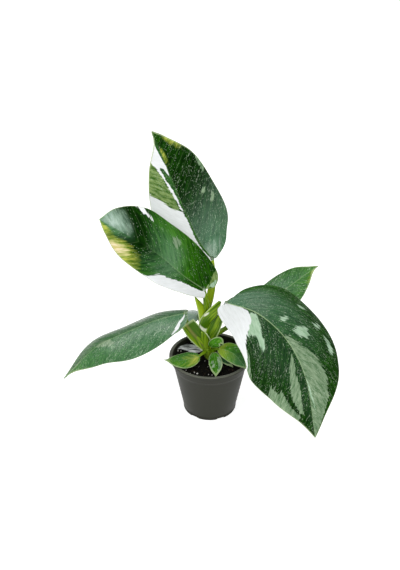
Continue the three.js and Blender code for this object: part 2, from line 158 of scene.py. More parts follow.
# Each blade half's outline, at even steps from base to tip: how far along the midrib the margin stands, how
# far across, and where on the midrib the side vein that ends there starts
BROAD = [
    (0, 0, 0), (-0.02, 0.17, 0), (0.04, 0.48, 0.03), (0.22, 0.86, 0.13),
    (0.47, 1, 0.31), (0.72, 0.76, 0.54), (0.9, 0.28, 0.78), (1, 0, 1),
]
BLUNT = [
    (0, 0, 0), (-0.08, 0.26, 0), (-0.05, 0.68, 0.02), (0.19, 0.96, 0.11),
    (0.5, 0.94, 0.32), (0.76, 0.89, 0.55), (0.93, 0.5, 0.8), (1, 0, 1),
]
FULL = [
    (0, 0, 0), (-0.01, 0.15, 0), (0.05, 0.64, 0.03), (0.23, 0.98, 0.12),
    (0.5, 0.9, 0.32), (0.76, 0.68, 0.55), (0.93, 0.24, 0.8), (1, 0, 1),
]
ACUTE = [
    (0, 0, 0), (-0.01, 0.17, 0), (0.04, 0.52, 0.03), (0.22, 0.9, 0.13),
    (0.48, 0.97, 0.31), (0.73, 0.6, 0.54), (0.9, 0.12, 0.78), (1, 0, 1),
]
LEAN = [
    (0, 0, 0), (-0.03, 0.18, 0), (0, 0.36, 0.03), (0.2, 0.64, 0.13),
    (0.46, 0.96, 0.31), (0.73, 0.86, 0.54), (0.91, 0.36, 0.78), (1, 0, 1),
]
SLIM = [
    (0, 0, 0), (0.01, 0.15, 0), (0.04, 0.48, 0.03), (0.2, 0.92, 0.13),
    (0.46, 1.05, 0.31), (0.72, 0.78, 0.54), (0.9, 0.28, 0.78), (1, 0, 1),
]
WAISTED = [
    (0, 0, 0), (-0.02, 0.22, 0), (0.075, 0.48, 0.03), (0.25, 0.8, 0.13),
    (0.51, 1, 0.31), (0.73, 0.74, 0.54), (0.9, 0.24, 0.78), (1, 0, 1),
]


def half(outline, width, fold, curl, light, painted_sheen_and_gloss):
    """One half of a blade: its shape, how light its green is from base to tip, in places painted shade and
    painted light where the blade bends, and how much painted sheen lies on it, which also makes it glossier.
    """
    return {
        "outline": outline, "width": width, "fold": fold, "curl": curl, "light": light, "painted_sheen_and_gloss": painted_sheen_and_gloss,
    }


# What a blade has where its own entry says nothing else
PLAIN_LEAF = {"roll": [0], "pale_margin": 0.3, "clear_margin": 0, "marks": []}

# The blades: midrib from base to tip, the way the upper side looks, and how that turns round the midrib.
# Wave is how high the margin waves. Flecks is how many pale flecks there are, pale_margin how wide the pale
# margin is, pale_rib how pale the midrib is, and clear_margin how far the painted sheen thins out at the
# margin. A marking is a paint and its outline: places from base to tip, and from the left margin at -1
# through the midrib at 0 to the right margin at 1.
LEAVES = [
    {
        "name": "leaf_top",
        "path": [(2, 16, 183), (-12, 22, 202), (-28, 22, 241), (-43, 12, 288), (-58, -4, 337)],
        "face": (0.05, -1, 0.4),
        "roll": [10, 0, -10],
        "left": half(ACUTE, 34, [10, 25], [0, 10], [0.3, 0.35, 0.3], [0.1, 0.1, 0.1]),
        "right": half(
            FULL, 42, [0, 0], [10, 10], [0.3, 0.3, 0.3, 0.28, 0.22, 0.12, 0.08, 0.08, 0.14, 0.2, 0.3],
            [0.85, 0.85, 0.85, 0.85, 0.7, 0.45, 0.1, 0, 0, 0, 0],
        ),
        "wave": 1.2, "flecks": 0.9, "pale_rib": [0.2, 0.1, 0], "clear_margin": 0.3,
        "marks": [
            ("fresh", [(0.8, -1.1), (0.62, -1.1), (0.637, -0.72), (0.626, -0.52), (0.61, -0.29),
                       (0.613, -0.13), (0.664, -0.17), (0.713, -0.32), (0.75, -0.51), (0.77, -0.83)]),
            ("sage", [(0.6, 0.66), (0.58, 0.74), (0.568, 0.67), (0.586, 0.58)]),
            ("sage", [(0.545, 0.8), (0.53, 0.85), (0.515, 0.77), (0.529, 0.72)]),
            ("sage", [(0.73, 1.1), (0.7, 1), (0.664, 0.93), (0.64, 0.9), (0.62, 0.93), (0.65, 1.1)]),
            ("yellow", [(0.87, 0.9), (0.83, 0.9), (0.785, 0.96), (0.785, 1.1), (0.87, 1.1)]),
            ("yellow", [(0.887, 0.1), (0.861, 0.24), (0.828, 0.2), (0.835, 0.02), (0.871, 0)]),
            ("white", [(0.64, -1.1), (0.637, -0.72), (0.626, -0.52), (0.61, -0.29), (0.602, -0.09),
                       (0.55, -0.05), (0.458, -0.08), (0.3, -0.1), (-0.05, -0.04), (-0.05, -1.1)]),
            ("white", [(0.9, -1.1), (0.87, -0.88), (0.85, -0.46), (0.818, -0.07), (0.768, -0.1),
                       (0.796, -0.39), (0.79, -0.69), (0.761, -0.45), (0.725, -0.23), (0.677, -0.11),
                       (0.63, -0.08), (0.59, -0.05), (0.613, -0.13), (0.664, -0.17), (0.713, -0.32),
                       (0.75, -0.51), (0.77, -0.83), (0.775, -1.1)]),
        ],
    },
    {
        "name": "leaf_upper_left",
        "path": [(-7, -6, 158), (-28, -15, 180), (-52, -27, 211), (-81, -34, 237), (-112, -22, 250)],
        "face": (0.25, -0.75, 0.7),
        "roll": [0, -5, -14],
        # Both halves darken near place 0.8, a painted shade where the blade bends away, and lighten at the
        # tip under a painted sheen
        "left": half(
            LEAN, 29, [10, 10], [0, 0], [0.4, 0.4, 0.36, 0.28, 0.26, 0.38, 0.42, 0.24, 0.08, 0.45, 0.6],
            [0, 0, 0, 0, 0, 0.12, 0.45, 0.15, 0, 0.5, 0.6],
        ),
        "right": half(
            BLUNT, 37, [10, 10], [20, 20], [0.4, 0.36, 0.32, 0.28, 0.3, 0.42, 0.52, 0.32, 0.06, 0.35, 0.55],
            [0, 0, 0, 0, 0, 0.03, 0.5, 0.2, 0, 0.9, 1],
        ),
        "wave": 1.2, "flecks": 0.45, "pale_rib": [0.35, 0.35, 0.3, 0.15, 0, 0], "clear_margin": 0.8,
        "marks": [
            ("sage", [(0.604, 0.63), (0.58, 0.73), (0.555, 0.76), (0.552, 0.68), (0.57, 0.52),
                      (0.596, 0.48), (0.607, 0.54)]),
            ("fresh", [(0.3, 0.9), (0.27, 0.6), (0.2, 0.3), (0.1, 0.3), (0.08, 1.1), (0.28, 1.1)]),
            ("mint", [(0.22, 0.9), (0.2, 0.55), (0.14, 0.5), (0.12, 0.98)]),
            # A painted sheen on the shoulder near the tip, where the lamps reflect
            ("bloom_and_painted_sheen", [(0.91, 1.1), (0.87, 0.8), (0.86, 0.35), (0.88, 0.1), (0.95, 0), (0.97, 0.3),
                       (0.96, 1)]),
            ("yellow", [(0.85, -1.1), (0.84, -0.72), (0.81, -0.5), (0.77, -0.52), (0.74, -0.62),
                        (0.71, -0.82), (0.68, -0.96), (0.67, -1.1)]),
            ("yellow", [(0.98, -1.1), (0.956, -0.6), (0.9, -0.66), (0.86, -0.92), (0.84, -1.1)]),
            ("cream", [(0.82, -1.1), (0.815, -0.89), (0.805, -0.76), (0.79, -0.66), (0.77, -0.68),
                       (0.75, -0.85), (0.745, -1.1)]),
            ("white", [(0.66, -1.1), (0.613, -0.92), (0.599, -0.57), (0.54, -0.41), (0.467, -0.29),
                       (0.38, -0.3), (0.28, -0.34), (0.1, -0.12), (-0.05, -0.03), (-0.05, -1.1)]),
            ("white", [(0.774, 1.1), (0.75, 0.93), (0.735, 0.85), (0.716, 0.76), (0.706, 0.75),
                       (0.712, 0.87), (0.73, 1.1)]),
        ],
    },
    {
        "name": "leaf_left",
        "path": [(-27, -2, 126), (-58, -4, 118), (-91, -7, 104), (-124, -12, 88), (-161, -18, 50)],
        "face": (0, -0.5, 1),
        "left": half(
            ACUTE, 30, [-10, -10], [30, 30], [0.4, 0.38, 0.42, 0.55], [0.7, 0.7, 0.65, 0.6, 0.5, 0.35],
        ),
        "right": half(
            BROAD, 30, [-32, -30], [30, 30], [0.36, 0.36, 0.4, 0.5], [0.6, 0.6, 0.55, 0.5, 0.4, 0.3],
        ),
        "wave": 1.2, "flecks": 1.9, "pale_rib": [0.4], "clear_margin": 0.2,
        "marks": [
            ("sage", [(0.79, 0), (0.75, 0.2), (0.72, -0.05), (0.68, -0.28), (0.7, -0.36), (0.74, -0.25),
                      (0.78, -0.12)]),
            ("white", [(0.17, -0.02), (0.25, -0.25), (0.32, -0.42), (0.35, -0.7), (0.37, -0.9),
                       (0.35, -0.95), (0.32, -0.84), (0.3, -0.6), (0.26, -0.48), (0.19, -0.25),
                       (0.12, -0.05)]),
        ],
    },
    {
        "name": "leaf_right",
        "path": [(17, -12, 145), (50, -34, 145), (80, -52, 123), (99, -72, 89), (110, -94, 29)],
        "face": (0.3, -0.4, 1),
        "left": half(SLIM, 61, [8, 0], [30, 30], [0.45, 0.38, 0.26, 0.2, 0.26], [1, 0.95, 0.5, 0.04, 0]),
        "right": half(
            WAISTED, 56, [-10, 0], [30, 20], [0.2, 0.2, 0.14, 0.14, 0.16], [0.5, 0.3, 0.15, 0.1, 0.05],
        ),
        "wave": 1.5, "flecks": 1.2, "pale_rib": [0.7, 0.8, 0.8, 0.7, 0.4, 0.3], "clear_margin": 0.9,
        "marks": [
            ("mint", [(0.452, 0.1), (0.482, 0.03), (0.515, 0.15), (0.539, 0.28), (0.568, 0.41),
                      (0.572, 0.52), (0.551, 0.46), (0.519, 0.41), (0.499, 0.41), (0.488, 0.5),
                      (0.474, 0.53), (0.46, 0.3)]),
            ("sage", [(0.47, 0.8), (0.48, 0.76), (0.504, 0.84), (0.53, 0.9), (0.56, 0.95), (0.58, 1.1),
                      (0.55, 1.1), (0.5, 0.98)]),
            ("sage", [(0.663, 0.82), (0.695, 0.84), (0.719, 0.82), (0.723, 0.74), (0.754, 0.78),
                      (0.785, 0.85), (0.818, 0.85), (0.847, 0.86), (0.82, 1.1), (0.7, 1.1),
                      (0.679, 0.93)]),
            ("sage", [(0.683, 0.09), (0.714, 0.16), (0.743, 0.25), (0.78, 0.3), (0.818, 0.48),
                      (0.858, 0.69), (0.831, 0.79), (0.78, 0.7), (0.753, 0.57), (0.721, 0.39),
                      (0.698, 0.22)]),
            ("sage", [(0.619, -0.02), (0.639, -0.09), (0.668, -0.2), (0.691, -0.32), (0.709, -0.45),
                      (0.731, -0.56), (0.746, -0.65), (0.774, -0.72), (0.8, -0.84), (0.834, -0.9),
                      (0.885, -0.92), (0.95, -0.95), (1.02, -0.5), (1.02, 0), (0.9, -0.02),
                      (0.79, 0), (0.7, 0.02), (0.654, 0)]),
            ("mint", [(0.613, -0.23), (0.604, -0.4), (0.615, -0.49), (0.635, -0.47), (0.645, -0.38),
                      (0.639, -0.27), (0.628, -0.2)]),
            ("mint", [(0.588, -0.73), (0.584, -0.85), (0.6, -0.82), (0.606, -0.69)]),
            ("mint", [(0.53, -0.74), (0.531, -0.89), (0.54, -0.84), (0.542, -0.69)]),
            ("mint", [(0.63, -0.79), (0.638, -0.88), (0.665, -0.88), (0.666, -0.78)]),
            ("mint", [(0.56, -0.2), (0.566, -0.3), (0.576, -0.31), (0.572, -0.2)]),
            ("mint", [(0.8, -0.05), (0.84, -0.14), (0.89, -0.4), (0.88, -0.26), (0.84, -0.05),
                      (0.78, 0)]),
            ("white", [(-0.05, 0.03), (0.3, 0.01), (0.4, 0.01), (0.442, 0.05), (0.464, 0.12),
                       (0.477, 0.22), (0.475, 0.34), (0.471, 0.5), (0.469, 0.7), (0.476, 0.8),
                       (0.495, 0.92), (0.55, 1.1), (-0.05, 1.1)]),
        ],
    },
    {
        "name": "leaf_right_back",
        "path": [(51, 36, 110), (69, 44, 117), (87, 52, 125), (104, 58, 136), (121, 64, 146)],
        "face": (0, -0.5, 1),
        "left": half(BROAD, 21, [0], [10], [0.4, 0.38, 0.55], [0.7, 0.6, 0.2]),
        "right": half(ACUTE, 22, [0], [20], [0.4, 0.38, 0.6], [0.7, 0.5, 0.1]),
        "wave": 0.6, "flecks": 1.5, "pale_margin": 0.4, "pale_rib": [0.4], "clear_margin": 0.5,
        "marks": [
            ("sage", [(0.3, -0.4), (0.42, -0.5), (0.4, -0.8), (0.3, -0.7)]),
            ("yellow", [(0.72, 1.1), (0.82, 0.92), (0.92, 0.7), (1.03, 0.2), (1.03, 1.1)]),
        ],
    },
    {
        "name": "leaf_back",
        "path": [(-13, 20, 108), (-29, 36, 101), (-45, 50, 87), (-59, 60, 71), (-71, 66, 53)],
        "face": (0, -0.3, 1),
        "left": half(BROAD, 22, [-20, -20], [30, 30], [0.55, 0.55, 0.5], [1, 1, 0.6]),
        "right": half(BROAD, 18, [-20, -10], [20, 20], [0.55, 0.55, 0.5], [1, 1, 0.6]),
        "wave": 0.6, "flecks": 0.6, "pale_margin": 0.4, "pale_rib": [0.4],
        "marks": [
            ("sage", [(0.5, -0.5), (0.62, -0.6), (0.6, -1.1), (0.48, -1.1)]),
            # A painted sheen over the base and middle of the blade, where the lamps reflect
            ("bloom_and_painted_sheen", [(0, -1.1), (0.6, -1.1), (0.8, 0), (0.6, 1.1), (0, 1.1)]),
        ],
    },
    {
        "name": "leaf_small_left",
        "path": [(-12, -12, 76), (-22, -15, 75), (-31, -17, 74.2), (-40, -19, 75), (-50, -21, 78)],
        "face": (0, -0.25, 1),
        "left": half(ACUTE, 12, [4], [8], [0.8, 0.65, 0.8], [0, 0.1, 0]),
        "right": half(ACUTE, 12, [0], [20], [0.7, 0.55, 0.7], [0, 0.15, 0.1]),
        "wave": 0.3, "flecks": 0.7, "pale_margin": 0.6, "pale_rib": [0.4],
        "marks": [
            ("yellow", [(0.2, -0.3), (0.42, -0.9), (0.55, -0.7), (0.5, -0.2), (0.56, 0.1), (0.4, 0.2),
                        (0.2, 0.1)]),
        ],
    },
    {
        "name": "leaf_small_front",
        "path": [(4, -14, 82), (5, -21, 80), (6, -28, 77), (6, -34, 72.5), (6, -39, 68)],
        "face": (0, -0.3, 1),
        "left": half(BROAD, 7.5, [0], [10], [0.7, 0.55, 0.5], [0]),
        "right": half(BROAD, 7.5, [0], [20], [0.7, 0.55, 0.5], [0]),
        "wave": 0.3, "flecks": 0.6, "pale_margin": 0.9, "pale_rib": [0.3],
        "marks": [
            ("sage", [(0.4, -0.9), (0.5, -0.4), (0.65, -0.3), (0.8, -0.5), (0.75, -1.1)]),
            ("sage", [(0.62, 0.2), (0.8, 0.3), (0.7, 0.7), (0.55, 0.5)]),
        ],
    },
    {
        "name": "leaf_small_right",
        "path": [(10, -8, 83), (17, -13, 85), (26, -18, 83), (33, -23, 77), (39, -27, 70)],
        "face": (0, -0.3, 1),
        "left": half(BROAD, 11, [20], [10], [1, 1, 0.9, 0.6, 0.45, 0.4], [0, 0, 0, 0.1, 0.3, 0.4]),
        "right": half(BROAD, 11, [0], [20], [1, 1, 1, 0.8, 0.6, 0.5], [0, 0, 0, 0.2, 0.5, 0.6]),
        "wave": 0.3, "flecks": 0.5, "pale_margin": 0.7, "pale_rib": [0.5],
    },
    {
        "name": "leaf_small_under",
        "path": [(5, -10, 79), (10, -14, 78), (15, -18, 77), (20, -21, 74), (25, -24, 70)],
        "face": (0, -0.3, 1),
        "left": half(BROAD, 5, [0], [10], [0.2], [0.2]),
        "right": half(BROAD, 5, [0], [20], [0.2], [0.2]),
        "wave": 0, "flecks": 0.2, "pale_margin": 0.8, "pale_rib": [0.5],
    },
    {
        "name": "leaf_curled",
        "path": [(1, -8, 85.5), (3.4, -16, 94), (7, -19, 100), (11, -19, 101), (14.5, -18, 95.5)],
        "face": (0.1, -0.9, 0.6),
        "left": half(BROAD, 6, [10], [50], [0.85, 0.6, 0.7], [0]),
        "right": half(BROAD, 7, [10], [50], [0.85, 0.6, 0.7], [0]),
        "wave": 0.3, "flecks": 0.2, "pale_margin": 0.8, "pale_rib": [0.2],
    },
]
DRY_SCALE = {
    "name": "dry_scale",
    "path": [(-6, 3.6, 74), (-15, 9, 72.5), (-23, 13, 71), (-30, 15, 69.7), (-36, 14, 68.4)],
    "face": (0, -0.4, 1),
    "left": half(BROAD, 6, [10], [60], [0], [0]),
    "right": half(BROAD, 6, [10], [60], [0], [0]),
    "wave": 0.4, "flecks": 0, "pale_margin": 0, "pale_rib": [0],
}


def tapered(path, face, half_width, half_depth, **tones):
    """A stalk: its centre line, the way its upper side looks, and its half width and half depth to its end.
    Tone makes the skin lighter or darker, on the pointed sheath partly as a painted highlight. A papery spot
    has its place along the stalk and its angle round it, its slant, and how far it reaches along and round;
    one spot is a painted highlight."""
    return {
        "path": path, "face": face, "half_width": half_width, "half_depth": half_depth, "olive": 0,
        "midline": 0, "pale_end": False, "tone_along": [0], "tone_across": [0], "papery": [], **tones,
    }


# The stalks, from base to end
PETIOLES = {
    "petiole_top": tapered(
        [(-4, 1, 78), (-8, 2, 105), (-5, 4, 122), (-0.3, 6, 141), (2.5, 12, 160), (2, 16, 183.5)],
        (0, -1, 0.2), [4, 4.5, 4.2, 4.2, 3.4, 1.8], [4, 4, 3.5, 3.2, 2.8, 1.6], olive=0.7,
    ),
    "petiole_upper_left": tapered(
        [(-4, -2, 78), (-5, -3, 100), (-5, -4, 120), (-4, -6, 137), (-7, -6, 158.5)],
        (0.3, -1, 0.3), [5, 5.6, 5.4, 3.6, 1.6], [4, 4, 3.4, 2.2, 1.5],
    ),
    "petiole_right": tapered(
        [(-3, -1, 80), (0, -3, 98), (5, -7, 113), (11, -10, 128), (16.7, -11.9, 142.8)],
        (-0.6, -1, 0.5), [3.5, 3.6, 3.6, 3, 2], [3, 3, 2.6, 2.2, 1.5],
    ),
    "petiole_left": tapered(
        [(-3, -1, 80), (-11, -4, 94), (-20, -4, 106), (-26, -3, 116), (-27.2, -2, 125.6)],
        (0.3, -1, 0.8), [3.5, 3.2, 3, 2.6, 1.9], [3, 3, 2.6, 2.2, 1.5],
    ),
    "petiole_right_back": tapered(
        [(-2, 0, 80), (4, 8, 89), (16, 16, 93), (34, 26, 100), (51.4, 36.2, 109.8)],
        (0, -0.5, 1), [3, 3, 2.6, 2.2, 1.6], [3, 2.6, 2.2, 1.9, 1.4],
    ),
    "petiole_back": tapered(
        [(-4, 0, 80), (-7, 8, 96), (-10, 14, 104), (-13.4, 20.5, 108)],
        (0, -0.5, 1), [3, 3, 2.6, 1.8], [3, 2.6, 2.2, 1.4],
    ),
    "petiole_small_left": tapered(
        [(-3, -2, 77), (-7, -8, 78), (-12.4, -12.1, 76)],
        (0, -0.3, 1), [2.6, 2, 1.2], [2, 1.6, 1],
    ),
    "petiole_small_front": tapered(
        [(-2, -2, 78), (2, -9, 82), (4, -14.3, 82)],
        (0, -0.3, 1), [2.6, 1.8, 1.1], [2, 1.5, 1],
    ),
    "petiole_small_right": tapered(
        [(-3, 0, 77), (3, -5, 81), (10.3, -8.2, 83)],
        (0, -0.5, 1), [3, 2.6, 1.4], [2.4, 1.8, 1],
    ),
    "petiole_small_under": tapered(
        [(-2, -2, 76), (1, -7, 78.5), (5.2, -10.2, 79)],
        (0, -0.3, 1), [2.4, 1.6, 1], [2, 1.4, 0.9],
    ),
    "petiole_curled": tapered(
        [(-2, -2, 80), (-0.5, -5.5, 82.4), (1.1, -8.2, 85.8)],
        (0.3, -0.9, 0.5), [2.4, 2, 1.4], [2, 1.6, 1.2],
    ),
}
SHEATHS = {
    "sheath_upper_left": tapered(
        [(-6, -1, 96), (-7.5, -4, 117), (-9.5, -6.5, 133), (-16.3, -8, 149.5)],
        (-0.6, 1, -0.3), [5, 5.2, 5, 0.8], [3, 3.4, 3, 0.8], olive=0.5, tone_along=[-0.1, 0.2, 0.3, 0],
    ),
    "sheath_pointed": tapered(
        [(-4, 0, 84), (-6.5, -2.5, 104), (-5, -7.5, 119), (1.8, -10.5, 131), (10.4, -10, 145.8)],
        (-0.15, 1, 0), [4.5, 6, 6.4, 6.4, 1.7], [3, 3.4, 3.2, 2.6, 1.2],
        # Its tone across is lighter on the left, partly a painted highlight, and its second papery spot is a
        # painted highlight
        tone_along=[-0.2, -0.5, -0.5, 0.1, -0.2], tone_across=[0.1, 0.2, -0.1, -0.2, 0.1],
        papery=[(0.37, -80, 0.0016, 0.06, 60), (0.7, -40, -0.002, 0.06, 18)],
    ),
    "sheath_right": tapered(
        [(-2, -4.4, 83), (0, -8, 99), (4, -10.5, 113), (9, -11.5, 127)],
        (-0.3, -1, 0.3), [5, 6.6, 7.4, 6], [3.4, 3.4, 3.2, 2.6], tone_along=[-0.2, -0.1, 0, -0.1],
        tone_across=[0, -0.4, -0.2, 0.2, -0.3, 0.1],
    ),
    "sheath_left": tapered(
        [(-2.5, -6.5, 83.5), (-9.5, -8.5, 95), (-17.5, -9.5, 106), (-24.5, -7, 115.6)],
        (0.05, -1, 0.35), [6.8, 9, 9.2, 8], [3.4, 4, 4, 3.2], midline=1, pale_end=True,
        tone_along=[-0.1, 0, 0, -0.05], tone_across=[0.1, 0, -0.2, -0.7, -0.7, -0.7, -0.5],
    ),
}


def along(values, t):
    """The value at t, from 0 to 1, of a smooth curve through evenly spaced values."""
    spans = len(values) - 1
    if spans == 0:
        return values[0]
    span = min(int(t * spans), spans - 1)
    start, end = values[span], values[span + 1]
    before = values[span - 1] if span > 0 else 2 * start - end
    after = values[span + 2] if span + 2 <= spans else 2 * end - start
    u = t * spans - span
    cubic = 3 * (start - end) + after - before
    square = 2 * before - 5 * start + 4 * end - after
    return start + 0.5 * u * (end - before + u * (square + u * cubic))


def clamp(value):
    return max(0.0, min(1.0, value))


def ease(low, high, value):
    """Rises smoothly from 0 at low to 1 at high."""
    share = clamp((value - low) / (high - low))
    return share * share * (3 - 2 * share)


def bell(distance, half_width):
    """Falls smoothly from 1 on a line to almost nothing at twice its half width."""
    return math.exp(-((distance / half_width) ** 2))


class Guide:
    """A piece's centre line, with a frame at any share of its length."""

    STEPS = 300

    def __init__(self, piece):
        self.path = [Vector(point) for point in piece["path"]]
        self.face = Vector(piece["face"])
        self.roll = piece.get("roll", [0])
        points = [along(self.path, step / self.STEPS) for step in range(self.STEPS + 1)]
        self.reach = [0.0]
        for before, after in zip(points, points[1:]):
            self.reach.append(self.reach[-1] + (after - before).length)
        self.length = self.reach[-1]

    def at(self, share):
        """The point at a share of the length, the way across it and the way up from it."""
        inside = clamp(share)
        step = float(np.interp(inside * self.length, self.reach, range(self.STEPS + 1)))
        t = step / self.STEPS
        tangent = (along(self.path, min(t + 1e-3, 1)) - along(self.path, max(t - 1e-3, 0))).normalized()
        origin = along(self.path, t) + tangent * (share - inside) * self.length
        side = tangent.cross(self.face).normalized()
        up = side.cross(tangent)
        roll = math.radians(along(self.roll, inside))
        flat = side * math.cos(roll) - up * math.sin(roll)
        return origin, flat, up * math.cos(roll) + side * math.sin(roll)


def is_large(leaf):
    return leaf["left"]["width"] > LARGE_BLADE_WIDTH


def blade_half(leaf, across):
    return leaf["left"] if across < 0 else leaf["right"]


def margin_reach(leaf, place, across):
    """How far the margin stands from the midrib, in millimetres."""
    side = blade_half(leaf, across)
    return max(along([entry[1] for entry in side["outline"]], place), 0) * side["width"]


def blade_point(leaf, guide, place, across):
    """A point of the blade's upper side, and how far along the midrib and away from it that point is."""
    side = blade_half(leaf, across)
    share = abs(across)
    margin_along = along([entry[0] for entry in side["outline"]], place)
    start = along([entry[2] for entry in side["outline"]], place)
    rest = 1 - share
    bend = 2 * share * rest
    lean = start + VEIN_LEAN * (margin_along - start)
    down = rest * rest * start + bend * lean + share * share * margin_along
    out = (bend * VEIN_REACH + share * share) * margin_reach(leaf, place, across)
    inside = clamp(down)
    fold = math.radians(along(side["fold"], inside))
    curl = math.radians(along(side["curl"], inside)) / side["width"]
    if abs(curl) < 1e-6:
        sideways, lift = out * math.cos(fold), out * math.sin(fold)
    else:
        sideways = (math.sin(fold) - math.sin(fold - curl * out)) / curl
        lift = (math.cos(fold - curl * out) - math.cos(fold)) / curl
    phase = 2 * math.pi * WAVES * place + (WAVE_SHIFT if across < 0 else 0)
    ripple = leaf["wave"] * share * share * math.sin(phase) * math.sin(math.pi * place)
    origin, flat, up = guide.at(down)
    return origin + flat * math.copysign(sideways, across) + up * (lift + ripple), down * guide.length, out


def vein_start(down, out):
    """Where on the midrib, in millimetres, the side vein that runs through a point starts."""
    return down - out * (VEIN_SWEEP + VEIN_BOW * out)


def depth_inside(outline, spots):
    """How deep, in millimetres, each spot lies inside an outline. Outside it is negative."""
    corners = np.array(outline, float)
    nearest = np.full(len(spots), np.inf)
    inside = np.zeros(len(spots), bool)
    for start, end in zip(corners, np.roll(corners, -1, axis=0)):
        side = end - start
        from_start = spots - start
        share = np.clip(from_start @ side / max(side @ side, 1e-9), 0, 1)
        nearest = np.minimum(nearest, np.linalg.norm(from_start - share[:, None] * side, axis=1))
        spans = (start[1] > spots[:, 1]) != (end[1] > spots[:, 1])
        rise = side[1] if abs(side[1]) > 1e-9 else 1e-9
        crossing = start[0] + (spots[:, 1] - start[1]) * side[0] / rise
        inside ^= spans & (spots[:, 0] < crossing)
    return np.where(inside, nearest, -nearest)


def finish_piece(name, mesh, materials, node):
    """Turns a finished bmesh, in metres, into a smooth piece, which stands for a CAD node if one is named."""
    data = bpy.data.meshes.new(name)
    mesh.to_mesh(data)
    mesh.free()
    for material in materials:
        data.materials.append(material)
    data.polygons.foreach_set("use_smooth", [True] * len(data.polygons))
    piece = bpy.data.objects.new(name, data)
    bpy.context.scene.collection.objects.link(piece)
    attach(piece, BODY)
    if node:
        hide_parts(node)
    return piece


def write_attribute(data, name, values):
    attribute = data.attributes.get(name) or data.attributes.new(name, "FLOAT", "POINT")
    attribute.data.foreach_set("value", np.asarray(values, np.float32))


def read_attribute(data, name):
    values = np.zeros(len(data.vertices), np.float32)
    data.attributes[name].data.foreach_get("value", values)
    return values


# Colour and finish
def colour(code):
    """An sRGB hex colour as the linear one that a shader takes."""
    parts = [int(code[start:start + 2], 16) / 255 for start in (1, 3, 5)]
    return (*[part / 12.92 if part <= 0.04045 else ((part + 0.055) / 1.055) ** 2.4 for part in parts], 1)


def feed(tree, node, links):
    """Gives sockets, by number or name, a value, an output, or a node for the first output it has in use."""
    for socket, source in links.items():
        if isinstance(source, bpy.types.Node):
            source = next(output for output in source.outputs if output.enabled)
        if isinstance(source, bpy.types.NodeSocket):
            tree.links.new(source, node.inputs[socket])
        else:
            node.inputs[socket].default_value = source


def add(tree, kind, links=None, **settings):
    """Adds a shader node with its settings and links. A Map Range takes a value at 0 from the range at 1
    and 2 to that at 3 and 4, which is 0 to 1 at first. A Mix takes a share at 0 and colours at 6 and 7."""
    node = tree.nodes.new("ShaderNode" + kind)
    for name, value in settings.items():
        setattr(node, name, value)
    feed(tree, node, links or {})
    return node


def new_material(name, **surface):
    """A material of one shader, with the values that are the same all over it."""
    material = bpy.data.materials.new(name)
    material.use_nodes = True
    shader = material.node_tree.nodes["Principled BSDF"]
    for socket, value in surface.items():
        shader.inputs[socket.replace("_", " ")].default_value = value
    return material, material.node_tree, shader


def pattern(tree, spot, wide, long, detail, roughness):
    """Uneven grains, so many millimetres wide and long, over a surface that is laid out in millimetres."""
    place = add(tree, "Mapping", {"Vector": spot, "Scale": (1 / wide, 1 / long, 1)})
    links = {"Vector": place, "Scale": 1, "Detail": detail, "Roughness": roughness}
    return add(tree, "TexNoise", links, noise_dimensions="2D")


# Living blades: a thin waxy skin over green, sage, cream or white tissue, which changes colour in sharp
# streaks along the side veins. The paint for the soft pale grey-green patches is a painted sheen where the
# lamps reflect. Jag and blotch are how far, in millimetres, the streaks and the mottling push a marking's
# edge, and soft is how wide the edge fades.
BLADE_PAINTS = {
    "fresh": {"colours": ("#355c1a", "#839a5d"), "jag": 1.0, "blotch": 1.2, "soft": 0.5},
    "sage": {"colours": ("#4f6e4b", "#869b7d"), "jag": 1.4, "blotch": 0.8, "soft": 0.4},
    "mint": {"colours": ("#84a584", "#aac3aa"), "jag": 1.4, "blotch": 0.8, "soft": 0.4},
    "yellow": {"colours": ("#4f7c16", "#b3b651"), "jag": 0.5, "blotch": 1.5, "soft": 4.5},
    "cream": {"colours": ("#b9b062", "#e2d3b4"), "jag": 0.4, "blotch": 1.5, "soft": 3.0},
    # A painted sheen: soft pale grey-green patches where the lamps reflect from the blade
    "bloom_and_painted_sheen": {"colours": ("#718f7c", "#9cb3a5"), "jag": 0.6, "blotch": 1.5, "soft": 8.0},
    "white": {"colours": ("#d7dada", "#e0e3e4"), "jag": 1.1, "blotch": 0.3, "soft": 0.25},
}
GREENS = [(0.0, "#061b04"), (0.2, "#103206"), (0.45, "#295c0c"), (0.7, "#4a8420"), (1.0, "#8ea838")]
# The bluish grey of the painted sheen, a painted reflection of the lamps on the green
PAINTED_SHEEN_GREEN = "#4a7356"
FLECK_PALE = "#c4d8bc"
VEIN_PALE = "#8fa878"
RIB_PALE = "#a3bd8c"
MARGIN_PALE = "#a8b98a"
UNDERSIDE_BLOOM = "#8fa588"

# The skin's patterns: their width across and length along the side veins, in millimetres, and their detail
# and roughness. A fleck's radius is a share of its cell, and its share is how many cells hold one.
STREAKS = (3.2, 30, 3, 0.55)
MOTTLE = (5, 11, 4, 0.6)
FIBRES = (0.9, 34, 3, 0.6)
SPECKS = (1.5, 3, 3, 0.65)
DRIFTS = (16, 30, 2, 0.5)
FLECKS = [
    {"cell": (1.9, 7.5), "share": 0.28, "radius": 0.16, "strength": 0.45},
    {"cell": (3.6, 16.0), "share": 0.22, "radius": 0.12, "strength": 0.7},
    {"cell": (1.2, 3.0), "share": 0.3, "radius": 0.2, "strength": 0.6},
]
FLECK_RAGGED = 0.25
FLECK_SOFT = 0.12

# The flecks lie over the paints before this one and under the others
FIRST_CLEAR_PAINT = "yellow"

# Streaks push a marking's edge less near the midrib, and fully from this many millimetres on
JAG_RAMP = 11.0


